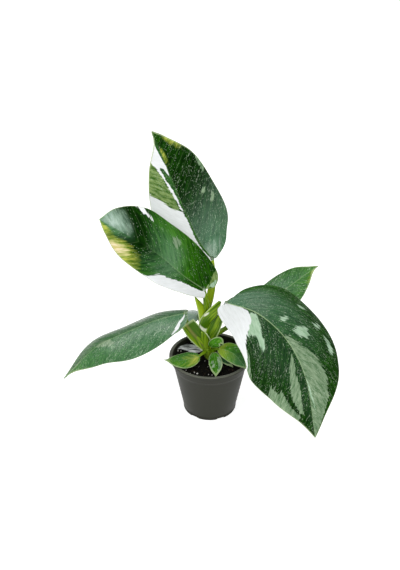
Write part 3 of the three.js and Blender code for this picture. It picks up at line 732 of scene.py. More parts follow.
def lay_flecks(tree, paint, spot, streaks, crowd):
    """Strews small pale flecks, drawn out along the side veins, over a colour."""
    for fleck in FLECKS:
        wide, long = fleck["cell"]
        place = add(tree, "Mapping", {"Vector": spot, "Scale": (1 / wide, 1 / long, 1)})
        links = {"Vector": place, "Scale": 1, "Randomness": 0.95}
        cells = add(tree, "TexVoronoi", links, voronoi_dimensions="2D")
        ragged = add(tree, "Math", {0: streaks, 1: FLECK_RAGGED, 2: cells}, operation="MULTIPLY_ADD")
        edge = fleck["radius"] + FLECK_RAGGED / 2
        body = add(tree, "MapRange", {0: ragged, 1: edge, 2: edge - FLECK_SOFT, 4: fleck["strength"]})
        draw = add(tree, "SeparateColor", {0: cells.outputs["Color"]})
        share = add(tree, "Math", {0: crowd, 1: fleck["share"]}, operation="MULTIPLY")
        chosen = add(tree, "Math", {0: draw, 1: share}, operation="LESS_THAN")
        mask = add(tree, "Math", {0: body, 1: chosen}, operation="MULTIPLY")
        paint = add(tree, "Mix", {0: mask, 6: paint, 7: colour(FLECK_PALE)}, data_type="RGBA")
    return paint


def blade_material(name, bloom_and_painted_sheen, roughness):
    """Waxy leaf skin. The second argument is how much of the underside's pale matte wax lies over the
    colours, and the marking that shares its name is a painted sheen where the lamps reflect.
    """
    material, tree, shader = new_material(name, Roughness=roughness, IOR=1.45)
    reads = {
        label: add(tree, "Attribute", attribute_name=label).outputs["Fac"]
        for label in (*BLADE_FIELDS, *BLADE_PAINTS)
    }
    spot = add(tree, "CombineXYZ", {0: reads["vein"], 1: reads["reach"]})
    streaks, mottle, fibres, specks, drifts = [
        pattern(tree, spot, *sizes) for sizes in (STREAKS, MOTTLE, FIBRES, SPECKS, DRIFTS)
    ]
    spread = add(tree, "MapRange", {0: streaks, 1: 0.3, 2: 0.7, 3: -1, 4: 1}, clamp=False)
    from_rib = add(tree, "Math", {0: reads["reach"]}, operation="ABSOLUTE")
    calm = add(tree, "MapRange", {0: from_rib, 1: 0, 2: JAG_RAMP, 3: 0.12, 4: 1})
    jag = add(tree, "Math", {0: spread, 1: calm}, operation="MULTIPLY")
    blots = add(tree, "MapRange", {0: mottle, 1: 0.3, 2: 0.7, 3: -1, 4: 1}, clamp=False)
    uneven = add(tree, "Math", {0: blots, 1: 0.12}, operation="MULTIPLY")
    speck = add(tree, "MapRange", {0: specks, 1: 0.45, 2: 0.72, 3: -0.03, 4: 0.14})
    uneven = add(tree, "Math", {0: speck, 1: reads["fleck"], 2: uneven}, operation="MULTIPLY_ADD")
    lines = add(tree, "MapRange", {0: fibres, 1: 0.3, 2: 0.7, 3: -0.09, 4: 0.09})
    uneven = add(tree, "Math", {0: lines, 1: uneven}, operation="ADD")
    # Light is the green's lightness; in places it is painted shade and painted light where a blade bends
    light = add(tree, "Math", {0: reads["light"], 1: uneven}, operation="ADD")
    greens = add(tree, "ValToRGB", {0: light})
    ramp = greens.color_ramp
    while len(ramp.elements) < len(GREENS):
        ramp.elements.new(0.5)
    for element, (position, code) in zip(ramp.elements, GREENS):
        element.position = position
        element.color = colour(code)
    # Painted sheen: where the sheen field is high, the green is mixed towards the bluish grey of the lamps'
    # reflection
    uneven_sheen = add(tree, "Math", {0: mottle, 1: 0.5}, operation="ADD")
    painted_sheen_and_gloss = add(tree, "Math", {0: uneven_sheen, 1: reads["painted_sheen_and_gloss"]}, operation="MULTIPLY")
    paint = add(tree, "Mix", {0: painted_sheen_and_gloss, 6: greens, 7: colour(PAINTED_SHEEN_GREEN)}, data_type="RGBA")
    crowd = add(tree, "MapRange", {0: drifts, 1: 0.38, 2: 0.62, 3: 0.35, 4: 1.6})
    crowd = add(tree, "Math", {0: crowd, 1: reads["fleck"]}, operation="MULTIPLY")
    marbled = add(tree, "Math", {0: fibres, 1: 0.25}, operation="MULTIPLY")
    marbled = add(tree, "Math", {0: mottle, 1: 0.75, 2: marbled}, operation="MULTIPLY_ADD")
    shade = add(tree, "MapRange", {0: marbled, 1: 0.36, 2: 0.64})
    for label, finish in BLADE_PAINTS.items():
        if label == FIRST_CLEAR_PAINT:
            paint = lay_flecks(tree, paint, spot, streaks, crowd)
        dark, pale = finish["colours"]
        tint = add(tree, "Mix", {0: shade, 6: colour(dark), 7: colour(pale)}, data_type="RGBA")
        edge = add(tree, "Math", {0: jag, 1: finish["jag"], 2: reads[label]}, operation="MULTIPLY_ADD")
        edge = add(tree, "Math", {0: blots, 1: finish["blotch"], 2: edge}, operation="MULTIPLY_ADD")
        mask = add(tree, "MapRange", {0: edge, 1: -finish["soft"], 2: finish["soft"]})
        paint = add(tree, "Mix", {0: mask, 6: paint, 7: tint}, data_type="RGBA")
    to_vein = add(tree, "Math", {0: reads["vein"], 1: VEIN_SPACING / 2}, operation="PINGPONG")
    on_vein = add(tree, "MapRange", {0: to_vein, 1: 0.8, 2: 0.1, 4: 0.09})
    on_rib = add(tree, "MapRange", {0: reads["rib"], 1: 0.25, 2: -0.45})
    on_rib = add(tree, "Math", {0: on_rib, 1: reads["pale_rib"]}, operation="MULTIPLY")
    at_margin = add(tree, "MapRange", {0: reads["margin"], 1: 0.1, 2: -0.1, 4: 0.6})
    overlays = [(on_vein, VEIN_PALE), (on_rib, RIB_PALE), (at_margin, MARGIN_PALE), (bloom_and_painted_sheen, UNDERSIDE_BLOOM)]
    for share, code in overlays:
        paint = add(tree, "Mix", {0: share, 6: paint, 7: colour(code)}, data_type="RGBA")
    # The same sheen field also makes the skin glossier
    gloss = add(tree, "MapRange", {0: reads["painted_sheen_and_gloss"], 3: 0.002, 4: 0.65})
    wear_and_painted_highlight = add(tree, "MapRange", {0: mottle, 3: roughness - 0.06, 4: roughness + 0.08})
    bump = add(tree, "Bump", {"Strength": 0.25, "Distance": 0.3 * MM, "Height": fibres})
    feed(tree, shader, {"Base Color": paint, "Specular IOR Level": gloss, "Roughness": wear_and_painted_highlight, "Normal": bump})
    return material


# Stalks: from dark to light green, olive on some, and paler where young, at a sheath's thin margins and where
# the skin has dried, and in a painted highlight on the pointed sheath
STALK_DARK = "#365a04"
STALK_LIGHT = "#86a41c"
STALK_OLIVE = "#879f18"
STALK_YOUNG = "#7c9630"
STALK_MARGIN = "#c3d3a0"
STALK_MIDLINE = "#84714a"
STALK_PAPERY_AND_HIGHLIGHT = "#d3d6c4"
STALK_FIBRES = (0.7, 16, 3, 0.6)
STALK_BANDS = (2.2, 30, 2, 0.5)


def stalk_material():
    """Petiole skin: smooth, waxy and yellow-green, with fine fibres along it and thin pale margins."""
    material, tree, shader = new_material(
        "waxy_petiole_skin", Roughness=0.3, IOR=1.45, Specular_IOR_Level=0.14,
    )
    reads = {
        label: add(tree, "Attribute", attribute_name=label).outputs["Fac"]
        for label in STALK_FIELDS
    }
    spot = add(tree, "CombineXYZ", {0: reads["round"], 1: reads["length"]})
    fibres = pattern(tree, spot, *STALK_FIBRES)
    bands = pattern(tree, spot, *STALK_BANDS)
    tone = add(tree, "Math", {0: fibres, 1: 0.45, 2: bands}, operation="MULTIPLY_ADD")
    light = add(tree, "MapRange", {0: tone, 1: 0.55, 2: 1.05})
    light = add(tree, "Math", {0: light, 1: reads["tone"]}, operation="ADD", use_clamp=True)
    young = add(tree, "MapRange", {0: reads["rise"], 1: 0.22, 2: 0, 4: 0.4})
    pale = add(tree, "MapRange", {0: reads["edge"], 1: 0.88, 2: 0.985, 4: 0.85})
    brown = add(tree, "Math", {0: reads["midline"], 1: 0.8}, operation="MULTIPLY")
    # Papery spots are dried skin, and the second on the pointed sheath is a painted highlight
    torn = add(tree, "Math", {0: bands, 1: 0.5, 2: reads["papery"]}, operation="MULTIPLY_ADD")
    papery = add(tree, "MapRange", {0: torn, 1: 0.6, 2: 0.95, 4: 0.85})
    paint = colour(STALK_DARK)
    overlays = [
        (light, STALK_LIGHT), (reads["olive"], STALK_OLIVE), (young, STALK_YOUNG), (pale, STALK_MARGIN),
        (brown, STALK_MIDLINE), (papery, STALK_PAPERY_AND_HIGHLIGHT),
    ]
    for share, code in overlays:
        paint = add(tree, "Mix", {0: share, 6: paint, 7: colour(code)}, data_type="RGBA")
    bump = add(tree, "Bump", {"Strength": 0.3, "Distance": 0.2 * MM, "Height": fibres})
    feed(tree, shader, {"Base Color": paint, "Normal": bump})
    return material


# The dry scale leaf
DRY_FOLDS = (14, 1.6, 4, 0.6)
DRY_CREASE_SHADE = "#1d1b18"
DRY_SILVER = "#dfe2e4"


def dry_scale_material():
    """A dead scale leaf: papery and silver-grey, darker in the low folds along its fibres, a painted shade in
    the creases.
    """
    material, tree, shader = new_material("dry_papery_scale", Roughness=0.35, IOR=1.5)
    vein, reach = [
        add(tree, "Attribute", attribute_name=label).outputs["Fac"] for label in ("vein", "reach")
    ]
    folds = pattern(tree, add(tree, "CombineXYZ", {0: vein, 1: reach}), *DRY_FOLDS)
    # Painted shade: the low folds, where the bump sinks, are painted near black
    shade = add(tree, "MapRange", {0: folds, 1: 0.38, 2: 0.62})
    paint = add(tree, "Mix", {0: shade, 6: colour(DRY_CREASE_SHADE), 7: colour(DRY_SILVER)}, data_type="RGBA")
    bump = add(tree, "Bump", {"Strength": 0.8, "Distance": 0.5 * MM, "Height": folds})
    feed(tree, shader, {"Base Color": paint, "Normal": bump})
    return material


# Marks on the pot: the size, in millimetres, of its flow marks, its slanting scuffs and its grain, and the
# heights between which the top of the lip is painted lighter, a painted highlight
FLOW_MARKS = (33.3, 33.3, 9.1)
SCUFFS = (11.1, 11.1, 2.38)
SCUFF_SLANT = (0.2, 0.1, 0)
POT_GRAIN = 0.5
LIP_TOP_HIGHLIGHT = (69.2, 69.9)
POT_DARK = "#22231a"
POT_GREY = "#2b2c24"
POT_SCUFFED = "#5f5f57"
POT_LIP_HIGHLIGHT = "#74756b"


def pot_material():
    """Injection-moulded recycled polypropylene: warm dark grey, dull, with faint flow marks and scuffs, and a
    painted highlight along the top of its lip.
    """
    material, tree, shader = new_material(
        "moulded_recycled_polypropylene", Roughness=0.5, IOR=1.49, Specular_IOR_Level=0.2,
    )
    place = add(tree, "TexCoord").outputs["Object"]
    flow_scale, scuff_scale = [[1 / (size * MM) for size in marks] for marks in (FLOW_MARKS, SCUFFS)]
    flow_place = add(tree, "Mapping", {"Vector": place, "Scale": flow_scale})
    flow = add(tree, "TexNoise", {"Vector": flow_place, "Scale": 1, "Detail": 4})
    grain = add(tree, "TexNoise", {"Vector": place, "Scale": 1 / (POT_GRAIN * MM), "Detail": 3})
    scuff_place = add(tree, "Mapping", {"Vector": place, "Scale": scuff_scale, "Rotation": SCUFF_SLANT})
    scratches = add(tree, "TexNoise", {"Vector": scuff_place, "Scale": 1, "Detail": 6, "Roughness": 0.7})
    scuffed = add(tree, "MapRange", {0: scratches, 1: 0.66, 2: 0.74, 4: 0.35})
    height = add(tree, "SeparateXYZ", {0: place}).outputs["Z"]
    # A painted highlight: the top of the lip is painted a lighter grey all round
    low, high = LIP_TOP_HIGHLIGHT
    wear_and_painted_highlight = add(tree, "MapRange", {0: height, 1: low * MM, 2: high * MM, 4: 0.6})
    paint = colour(POT_DARK)
    for share, code in [(flow, POT_GREY), (scuffed, POT_SCUFFED), (wear_and_painted_highlight, POT_LIP_HIGHLIGHT)]:
        paint = add(tree, "Mix", {0: share, 6: paint, 7: colour(code)}, data_type="RGBA")
    dull = add(tree, "MapRange", {0: flow, 3: 0.42, 4: 0.58})
    bump = add(tree, "Bump", {"Strength": 0.12, "Distance": 0.1 * MM, "Height": grain})
    feed(tree, shader, {"Base Color": paint, "Roughness": dull, "Normal": bump})
    return material


# What fills the pot: damp coco and peat is nearly black and crumbly, expanded perlite chalky white, and coco
# fibre a dull brown. Grain is the size of the patches of colour, and bumps their height, in millimetres.
ROUGH = {
    "damp_coco_peat": {"colours": ("#020202", "#0e0b08"), "grain": 1.2, "roughness": 0.8, "bumps": 0.5},
    "peat_crumb": {"colours": ("#030302", "#18170f"), "grain": 2.5, "roughness": 0.75, "bumps": 0.3},
    "expanded_perlite": {"colours": ("#8d8a82", "#ebe9e3"), "grain": 0.8, "roughness": 0.9, "bumps": 0.3},
    "coco_fibre": {"colours": ("#2b2118", "#574634"), "grain": 1.5, "roughness": 0.8, "bumps": 0.1},
}

# What is strewn over the soil: sizes in millimetres, how flat the grains are, and how far up they stand
STREWN = {
    "soil_crumbs": {
        "finish": "peat_crumb", "count": 1400, "sizes": (0.5, 1.5), "flatness": (0.4, 0.9), "seed": 3,
        "stand": 0.2,
    },
    "perlite_grains": {
        "finish": "expanded_perlite", "count": 70, "sizes": (0.4, 1.4), "flatness": (0.6, 1), "seed": 8,
        "stand": 0.5,
    },
}


def rough_material(name):
    """A rough natural crumb, grain or thread in a run of colours, with a grain of its own."""
    finish = ROUGH[name]
    material, tree, shader = new_material(name, Roughness=finish["roughness"], Specular_IOR_Level=0.1)
    place = add(tree, "TexCoord").outputs["Object"]
    scale = 1 / (finish["grain"] * MM)
    patches = add(tree, "TexNoise", {"Vector": place, "Scale": scale, "Detail": 5, "Roughness": 0.7})
    shade = add(tree, "MapRange", {0: patches, 1: 0.35, 2: 0.65})
    dark, pale = finish["colours"]
    paint = add(tree, "Mix", {0: shade, 6: colour(dark), 7: colour(pale)}, data_type="RGBA")
    bump = add(tree, "Bump", {"Strength": 0.7, "Distance": finish["bumps"] * MM, "Height": patches})
    feed(tree, shader, {"Base Color": paint, "Normal": bump})
    return material


# Blades
def relief(place, across, out, vein, large):
    """How far the blade's skin stands above its plain surface: quilted between side veins, sunk on them."""
    sunk = RIB_GROOVE * bell(out, RIB_HALF_WIDTH) * (1 - RIB_GROOVE_TAPER * place)
    if not large:
        return -SMALL_RIB * sunk
    away = ease(*QUILT_BEGINS, abs(across)) * (1 - ease(*QUILT_ENDS, abs(across)))
    phase = vein / VEIN_SPACING
    to_vein = abs(phase - round(phase)) * VEIN_SPACING
    quilt = QUILT_HEIGHT * math.sin(math.pi * phase) ** 2
    return away * (quilt - VEIN_GROOVE * bell(to_vein, VEIN_GROOVE_HALF)) - sunk


def marking_depths(leaf, label, length, spots):
    """How deep each spot lies inside the leaf's markings of one paint, outside them negative."""
    depth = np.full(len(spots), -MARK_FAR)
    for paint, outline in leaf["marks"]:
        if paint == label:
            corners = [(p * length, a * blade_half(leaf, a)["width"]) for p, a in outline]
            depth = np.maximum(depth, depth_inside(corners, spots))
    return np.minimum(depth, MARK_FAR)


def write_fields(data, leaf, length, number):
    """Writes what the blade's skin reads. Its number gives each blade another piece of the patterns."""
    place, across, out, vein = [read_attribute(data, label) for label in BLADE_LAYERS]
    width = np.where(across < 0, leaf["left"]["width"], leaf["right"]["width"])
    light, painted_sheen_and_gloss = [
        np.clip([along(blade_half(leaf, a)[label], p) for p, a in zip(place, across)], 0, 1)
        for label in ("light", "painted_sheen_and_gloss")
    ]
    near_margin = np.array([ease(*PAINTED_SHEEN_THINS, abs(a)) for a in across])
    margins = np.array([margin_reach(leaf, p, a) for p, a in zip(place, across)])
    rib_half = PALE_RIB_HALF * (1 - PALE_RIB_TAPER * place) * (1 if is_large(leaf) else SMALL_RIB)
    spots = np.stack([place * length, across * width], axis=1)
    fields = {
        "vein": vein + SEED_STEP * number,
        "reach": np.copysign(out * math.hypot(1, VEIN_SWEEP), across),
        "light": light,
        "painted_sheen_and_gloss": painted_sheen_and_gloss * (1 - leaf["clear_margin"] * near_margin),
        "fleck": np.full(len(place), leaf["flecks"]),
        "rib": out - rib_half,
        "pale_rib": [along(leaf["pale_rib"], p) for p in place],
        "margin": margins - out - leaf["pale_margin"],
    }
    for label in BLADE_PAINTS:
        fields[label] = marking_depths(leaf, label, length, spots)
    for label, values in fields.items():
        write_attribute(data, label, values)


def thicken(piece, large):
    """Gives a blade its thickness under the upper skin, most of it below the midrib, less towards the tip."""
    place, out = [read_attribute(piece.data, label) for label in ("place", "out")]
    thickness = piece.vertex_groups.new(name="thickness")
    thin = BLADE_THICKNESS / RIB_THICKNESS
    for index, (along_rib, distance) in enumerate(zip(place, out)):
        bulge = bell(distance, RIB_HALF_WIDTH) * (1 - along_rib) if large else 0
        thickness.add([index], thin + (1 - thin) * float(bulge), "REPLACE")
    solid = piece.modifiers.new("thickness", "SOLIDIFY")
    solid.thickness = RIB_THICKNESS * MM
    solid.offset = -1
    solid.vertex_group = "thickness"
    solid.material_offset = 1
    solid.material_offset_rim = 0


def make_blade(leaf, number, grid, materials):
    """A blade: a grid laid on the leaf's surface, given its relief, its colour fields and its thickness."""
    rows, columns = grid
    guide = Guide(leaf)
    mesh = bmesh.new()
    bmesh.ops.create_grid(mesh, x_segments=columns, y_segments=rows, size=1)
    layers = [mesh.verts.layers.float.new(label) for label in BLADE_LAYERS]
    for vertex in mesh.verts:
        place = (vertex.co.y + 1) / 2
        across = math.copysign(abs(vertex.co.x) ** COLUMN_CROWDING, vertex.co.x)
        spot, down, out = blade_point(leaf, guide, place, across)
        vertex.co = spot * MM
        for layer, value in zip(layers, (place, across, out, vein_start(down, out))):
            vertex[layer] = value
    bmesh.ops.remove_doubles(mesh, verts=mesh.verts, dist=0.002 * MM)
    mesh.normal_update()
    for vertex in mesh.verts:
        rise = relief(*[vertex[layer] for layer in layers], is_large(leaf))
        vertex.co += vertex.normal * rise * MM
    piece = finish_piece(leaf["name"] + "_blade", mesh, materials, leaf["name"])
    write_fields(piece.data, leaf, guide.length, number)
    thicken(piece, is_large(leaf))


# Stalks
def rod(sides, rings, tip=1.0):
    """A bmesh of an upright rod of unit radius and height, with rings along it."""
    mesh = bmesh.new()
    bmesh.ops.create_cone(mesh, cap_ends=True, segments=sides, radius1=1, radius2=tip, depth=1)
    lengthwise = [edge for edge in mesh.edges if abs(edge.verts[0].co.z - edge.verts[1].co.z) > 0.5]
    bmesh.ops.subdivide_edges(mesh, edges=lengthwise, cuts=rings - 1)
    return mesh


def stalk_section(kind, half_width, deep, angle):
    """A point of the stalk's section: across it and up from its centre line."""
    side, up = math.cos(angle), math.sin(angle)
    if kind == "petiole":
        top = deep * (1 - PETIOLE_HOLLOW) - PETIOLE_HOLLOW * max(deep - 1, 0)
        return half_width * side, up * (top if up > 0 else deep)
    if up <= 0:
        return half_width * side, deep * up
    inner = max(half_width - SHEATH_MARGIN, 0.3 * half_width)
    return inner * side, -max(deep - SHEATH_SKIN, 0) * up


def papery_and_highlight_spot(t, degrees, place, middle, slant, long, wide):
    """How much of a slanting pale spot lies on a point that is given by its place and its angle. Most spots
    are papery skin; one is a painted highlight.
    """
    around = degrees - middle
    return bell(t - place - slant * around, long) * bell(around, wide)


def make_stalk(name, stalk, kind, material):
    """A stalk with its tones: darker or lighter along and across it, olive, a brown midline, papery spots,
    and a painted highlight.
    """
    guide = Guide(stalk)
    mesh = rod(STALK_SIDES, STALK_RINGS)
    layers = {label: mesh.verts.layers.float.new(label) for label in STALK_FIELDS}
    for vertex in mesh.verts:
        t = vertex.co.z + 0.5
        angle = math.atan2(vertex.co.y, vertex.co.x)
        share = math.cos(angle)
        half_width, deep = along(stalk["half_width"], t), along(stalk["half_depth"], t)
        across, rise = stalk_section(kind, half_width, deep, angle)
        origin, flat, up = guide.at(t)
        vertex.co = (origin + flat * across + up * rise) * MM
        near_end = t - PALE_END if stalk["pale_end"] else 0
        on_line = bell(share - MIDLINE_SHARE, MIDLINE_HALF) if math.sin(angle) > 0 else 0
        spots = [papery_and_highlight_spot(t, math.degrees(angle), *spot) for spot in stalk["papery"]]
        fields = {
            "length": t * guide.length,
            "round": angle * half_width + STALK_SEED_STEP * len(name),
            "edge": max(abs(share), near_end) if kind == "sheath" else 0,
            "rise": t,
            "midline": stalk["midline"] * on_line,
            "olive": stalk["olive"],
            "tone": along(stalk["tone_along"], t) + along(stalk["tone_across"], (share + 1) / 2),
            "papery": max(spots, default=0),
        }
        for label, value in fields.items():
            vertex[layers[label]] = value
    bmesh.ops.recalc_face_normals(mesh, faces=mesh.faces)
    finish_piece(name, mesh, [material], "stem")


def make_crown(material):
    """The short crown that stands in the soil, ringed by old leaf scars."""
    mesh = rod(CROWN_SIDES, CROWN_RINGS)
    for vertex in mesh.verts:
        t = vertex.co.z + 0.5
        angle = math.atan2(vertex.co.y, vertex.co.x)
        shrink = 1 - CROWN_SHRINK * ease(CROWN_SHOULDER, 1.0, t)
        scar = SCAR_HEIGHT * math.sin(5 * angle + 14 * t) * math.sin(20 * t)
        radius = (CROWN_RADIUS - SCAR_HEIGHT + scar) * shrink
        height = CROWN_FOOT + t * (CROWN_TOP - CROWN_FOOT)
        vertex.co = Vector((radius * math.cos(angle), radius * math.sin(angle), height)) * MM
    finish_piece("crown", mesh, [material], "stem")


# Pot
def body_radius(height):
    """The pot's outer radius at a height on its plain tapering side."""
    share = (height - FOOT_ROUNDING) / (COLLAR_FOOT - FOOT_ROUNDING)
    return BODY_FOOT_RADIUS + share * (BODY_TOP_RADIUS - BODY_FOOT_RADIUS)


def arc(radius, height, rounding, start, end, steps):
    """Points of a round corner in the pot's profile, with its angles in degrees."""
    angles = [math.radians(start + (end - start) * step / steps) for step in range(steps + 1)]
    return [(radius + rounding * math.cos(a), height + rounding * math.sin(a)) for a in angles]


def spin_profile(profile):
    """A bmesh of a profile, of radius and height pairs in millimetres, spun round the pot's axis."""
    mesh = bmesh.new()
    corners = [mesh.verts.new((radius * MM, 0, height * MM)) for radius, height in profile]
    edges = [mesh.edges.new(pair) for pair in zip(corners, corners[1:])]
    bmesh.ops.spin(
        mesh, geom=[*corners, *edges], cent=(0, 0, 0), axis=(0, 0, 1), angle=2 * math.pi,
        steps=SPIN_STEPS, use_merge=True,
    )
    bmesh.ops.remove_doubles(mesh, verts=mesh.verts, dist=POLE_MERGE * MM)
    return mesh


def make_pot(material):
    """The pot: a tapering cup with a collar, a flared lip, a rounded foot and drain notches."""
    lip_foot = POT_HEIGHT - LIP_THICKNESS
    collar_radius = BODY_TOP_RADIUS + COLLAR_STEP
    collar_top = COLLAR_FOOT + COLLAR_STEP
    neck_radius = RIM_RADIUS - LIP_OVERHANG
    side_height = COLLAR_FOOT - FOOT_ROUNDING
    side_heights = [FOOT_ROUNDING + side_height * step / BODY_RINGS for step in range(BODY_RINGS + 1)]
    floor_radius = body_radius(FLOOR_BEND) - POT_WALL
    mesh = spin_profile([
        (POLE_RADIUS, 0),
        (FOOT_RECESS_RADIUS, 0),
        (FOOT_RECESS_RADIUS + 0.3, FOOT_RECESS),
        (NOTCH_DEPTH_RADIUS - 0.2, FOOT_RECESS),
        (NOTCH_DEPTH_RADIUS, 0),
        (FOOT_RADIUS - 0.5, 0),
        *arc(FOOT_RADIUS - 0.5, FOOT_ROUNDING, FOOT_ROUNDING, -85, -5, 10),
        *[(body_radius(height), height) for height in side_heights],
        (BODY_TOP_RADIUS + 0.1, COLLAR_FOOT + 0.1),
        (collar_radius - 0.1, collar_top - 0.2),
        (collar_radius, collar_top),
        (neck_radius - 0.1, lip_foot - 2),
        (neck_radius + 0.3, lip_foot - 1),
        (RIM_RADIUS - 1.2, lip_foot - 0.1),
        *arc(RIM_RADIUS - LIP_ROUNDING, lip_foot + LIP_ROUNDING, LIP_ROUNDING, -80, 0, 5),
        *arc(RIM_RADIUS - LIP_ROUNDING, POT_HEIGHT - LIP_ROUNDING, LIP_ROUNDING, 0, 90, 6),
        *arc(neck_radius + 0.5, POT_HEIGHT - 1, 1, 90, 175, 6),
        (collar_radius - POT_WALL, collar_top),
        (floor_radius, FLOOR_BEND),
        (floor_radius - 1.5, FLOOR_THICKNESS),
        (POLE_RADIUS, FLOOR_THICKNESS),
    ])
    bmesh.ops.holes_fill(mesh, edges=mesh.edges)
    notch_half = math.degrees(NOTCH_WIDTH / 2 / FOOT_RADIUS)
    for vertex in mesh.verts:
        radius = math.hypot(vertex.co.x, vertex.co.y) / MM
        if radius > NOTCH_DEPTH_RADIUS - 0.1 and vertex.co.z < NOTCH_HEIGHT * MM:
            angle = math.degrees(math.atan2(vertex.co.y, vertex.co.x)) + 90 - NOTCH_FIRST_ANGLE
            off = abs((angle + 180 / NOTCH_COUNT) % (360 / NOTCH_COUNT) - 180 / NOTCH_COUNT)
            raised = NOTCH_HEIGHT * (1 - ease(0.75, 1.1, off / notch_half)) * MM
            vertex.co.z = max(vertex.co.z, raised)
    bmesh.ops.recalc_face_normals(mesh, faces=mesh.faces)
    finish_piece("pot_shell", mesh, [material], "pot")


# Soil
def soil_surface(x, y):
    """The soil's height: a low mound with lumps, and the fine clods that lie on them."""
    mound = SOIL_MOUND * (1 - (x * x + y * y) / (RIM_RADIUS * RIM_RADIUS))
    lumps = math.sin(0.55 * x + 1) * math.cos(0.48 * y) + math.sin(0.31 * x - 0.37 * y + 2)
    clods = noise.fractal(Vector((x, y, 3.0)) * 0.45, 0.9, 2.1, 5)
    return SOIL_LEVEL + mound + 0.5 * SOIL_LUMP * lumps + SOIL_CLOD * clods


def make_soil(material):
    """The plug of soil: a fine clodded top, and the plain taper that the pot gives it."""
    rings = [1 + step * (SOIL_RADIUS - 1) / SOIL_RINGS for step in range(SOIL_RINGS + 1)]
    bend = body_radius(FLOOR_BEND) - POT_WALL - GAP
    floor = FLOOR_THICKNESS + GAP
    mesh = spin_profile([
        (POLE_RADIUS, SOIL_LEVEL),
        *[(radius, SOIL_LEVEL) for radius in rings],
        (SOIL_RADIUS - 0.3, COLLAR_FOOT),
        (bend, FLOOR_BEND),
        (bend - 1.6, floor),
        (POLE_RADIUS, floor),
    ])
    for vertex in mesh.verts:
        if vertex.co.z > (SOIL_LEVEL - 0.5) * MM:
            vertex.co.z = soil_surface(vertex.co.x / MM, vertex.co.y / MM) * MM
    bmesh.ops.recalc_face_normals(mesh, faces=mesh.faces)
    finish_piece("soil_plug", mesh, [material], "soil")


def spot_on_soil(draw, inset):
    """A random spot on the soil, evenly spread and so far in from its edge."""
    radius = (SOIL_RADIUS - inset) * math.sqrt(draw.random())
    angle = draw.uniform(0, 2 * math.pi)
    return radius * math.cos(angle), radius * math.sin(angle)


def scatter(name, finish, count, sizes, flatness, seed, stand):
    """Strews small ragged grains over the soil, each turned and squeezed in its own way."""
    draw = random.Random(seed)
    mesh = bmesh.new()
    for _ in range(count):
        x, y = spot_on_soil(draw, GRAIN_INSET)
        size = draw.uniform(*sizes) * draw.uniform(0.6, 1)
        shape = Vector((size, size * draw.uniform(0.55, 1), size * draw.uniform(*flatness)))
        turn = Euler([draw.uniform(0, 2 * math.pi) for _ in range(3)])
        place = Vector((x, y, soil_surface(x, y) + size * stand))
        matrix = Matrix.LocRotScale(place * MM, turn, shape * MM)
        grain = bmesh.ops.create_icosphere(mesh, subdivisions=1, radius=1, matrix=matrix)["verts"]
        for vertex in grain:
            pushes = [draw.uniform(-GRAIN_RAGGED, GRAIN_RAGGED) for _ in range(3)]
            vertex.co += Vector([push * size * MM for push in pushes])
    finish_piece(name, mesh, [rough_material(finish)], None)


def make_fibres():
    """Short coco fibres, each a thin bent thread half sunk in the soil."""
    draw = random.Random(FIBRE_SEED)
    mesh = bmesh.new()
    for _ in range(FIBRE_COUNT):
        x, y = spot_on_soil(draw, FIBRE_INSET)
        heading, length = draw.uniform(0, 2 * math.pi), draw.uniform(*FIBRE_LENGTHS)
        bow, arch = draw.uniform(-FIBRE_BOW, FIBRE_BOW), draw.uniform(*FIBRE_ARCHES)
        thread = rod(5, 6, tip=0.5)
        for vertex in thread.verts:
            t = vertex.co.z
            turn = heading + bow * t * 3
            reach = length * t
            side = FIBRE_RADIUS * vertex.co.x
            px = x + reach * math.cos(turn) - side * math.sin(turn)
            py = y + reach * math.sin(turn) + side * math.cos(turn)
            lift = arch * (0.25 - t * t) * 4 + FIBRE_RADIUS * vertex.co.y
            vertex.co = Vector((px, py, soil_surface(px, py) + lift)) * MM
        made = bpy.data.meshes.new("thread")
        thread.to_mesh(made)
        thread.free()
        mesh.from_mesh(made)
        bpy.data.meshes.remove(made)
    bmesh.ops.recalc_face_normals(mesh, faces=mesh.faces)
    finish_piece("coco_fibres", mesh, [rough_material("coco_fibre")], None)


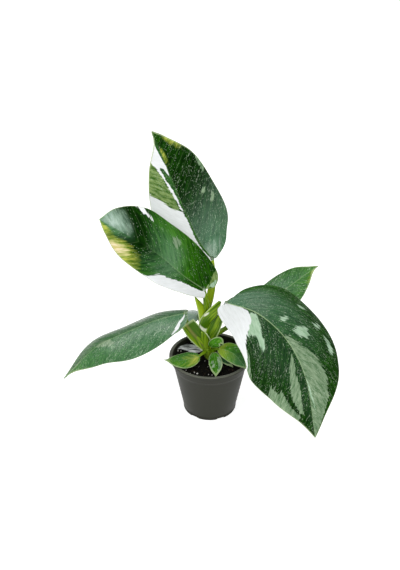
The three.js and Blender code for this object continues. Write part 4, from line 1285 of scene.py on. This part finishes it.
def build_plant():
    skins = [
        blade_material("waxy_leaf_skin", bloom_and_painted_sheen=0.0, roughness=0.28),
        blade_material("waxy_leaf_underside", bloom_and_painted_sheen=0.3, roughness=0.55),
    ]
    for number, leaf in enumerate(LEAVES, 1):
        grid = LARGE_GRID if is_large(leaf) else SMALL_GRID
        make_blade(PLAIN_LEAF | leaf, number, grid, skins)
    papery = dry_scale_material()
    make_blade(PLAIN_LEAF | DRY_SCALE, len(LEAVES) + 1, SCALE_GRID, [papery, papery])
    skin = stalk_material()
    for kind, stalks in (("petiole", PETIOLES), ("sheath", SHEATHS)):
        for name, stalk in stalks.items():
            make_stalk(name, stalk, kind, skin)
    make_crown(skin)


def build_pot():
    make_pot(pot_material())
    make_soil(rough_material("damp_coco_peat"))
    for name, grains in STREWN.items():
        scatter(name, **grains)
    make_fibres()


# Camera, floor and light
def add_light(name, place, aim, size, power):
    light = bpy.data.lights.new(name, "AREA")
    light.shape = "DISK"
    light.size = size
    light.energy = power
    lamp = bpy.data.objects.new(name, light)
    lamp.location = place
    lamp.rotation_euler = (Vector(aim) - Vector(place)).to_track_quat("-Z", "Y").to_euler()
    bpy.context.scene.collection.objects.link(lamp)


def build_studio():
    """The camera, soft lights in a white room, and a floor of white acrylic, lit from behind."""
    scene = bpy.context.scene
    scene.view_settings.view_transform = "Standard"
    view = bpy.data.cameras.new("camera")
    view.lens = CAMERA_LENS
    view.sensor_width = SENSOR_WIDTH
    camera = bpy.data.objects.new("camera", view)
    camera.location = CAMERA_PLACE
    camera.rotation_euler = (math.radians(90 - CAMERA_PITCH), 0, 0)
    scene.collection.objects.link(camera)
    scene.camera = camera
    world = bpy.data.worlds.new("soft_white_room")
    world.use_nodes = True
    background = world.node_tree.nodes["Background"]
    background.inputs[0].default_value = (1, 1, 1, 1)
    background.inputs[1].default_value = ROOM_LIGHT
    scene.world = world
    for name, softbox in SOFTBOXES.items():
        add_light(name, **softbox)
    material, _, _ = new_material(
        "backlit_white_acrylic", Base_Color=colour("#d8d8d8"), Roughness=0.9,
        Emission_Color=colour("#ffffff"), Emission_Strength=FLOOR_GLOW,
    )
    mesh = bmesh.new()
    bmesh.ops.create_grid(mesh, x_segments=4, y_segments=4, size=FLOOR_HALF_WIDTH)
    data = bpy.data.meshes.new("floor")
    mesh.to_mesh(data)
    mesh.free()
    data.materials.append(material)
    floor = bpy.data.objects.new("floor", data)
    scene.collection.objects.link(floor)


build_studio()
build_pot()
build_plant()

bpy.context.view_layer.update()
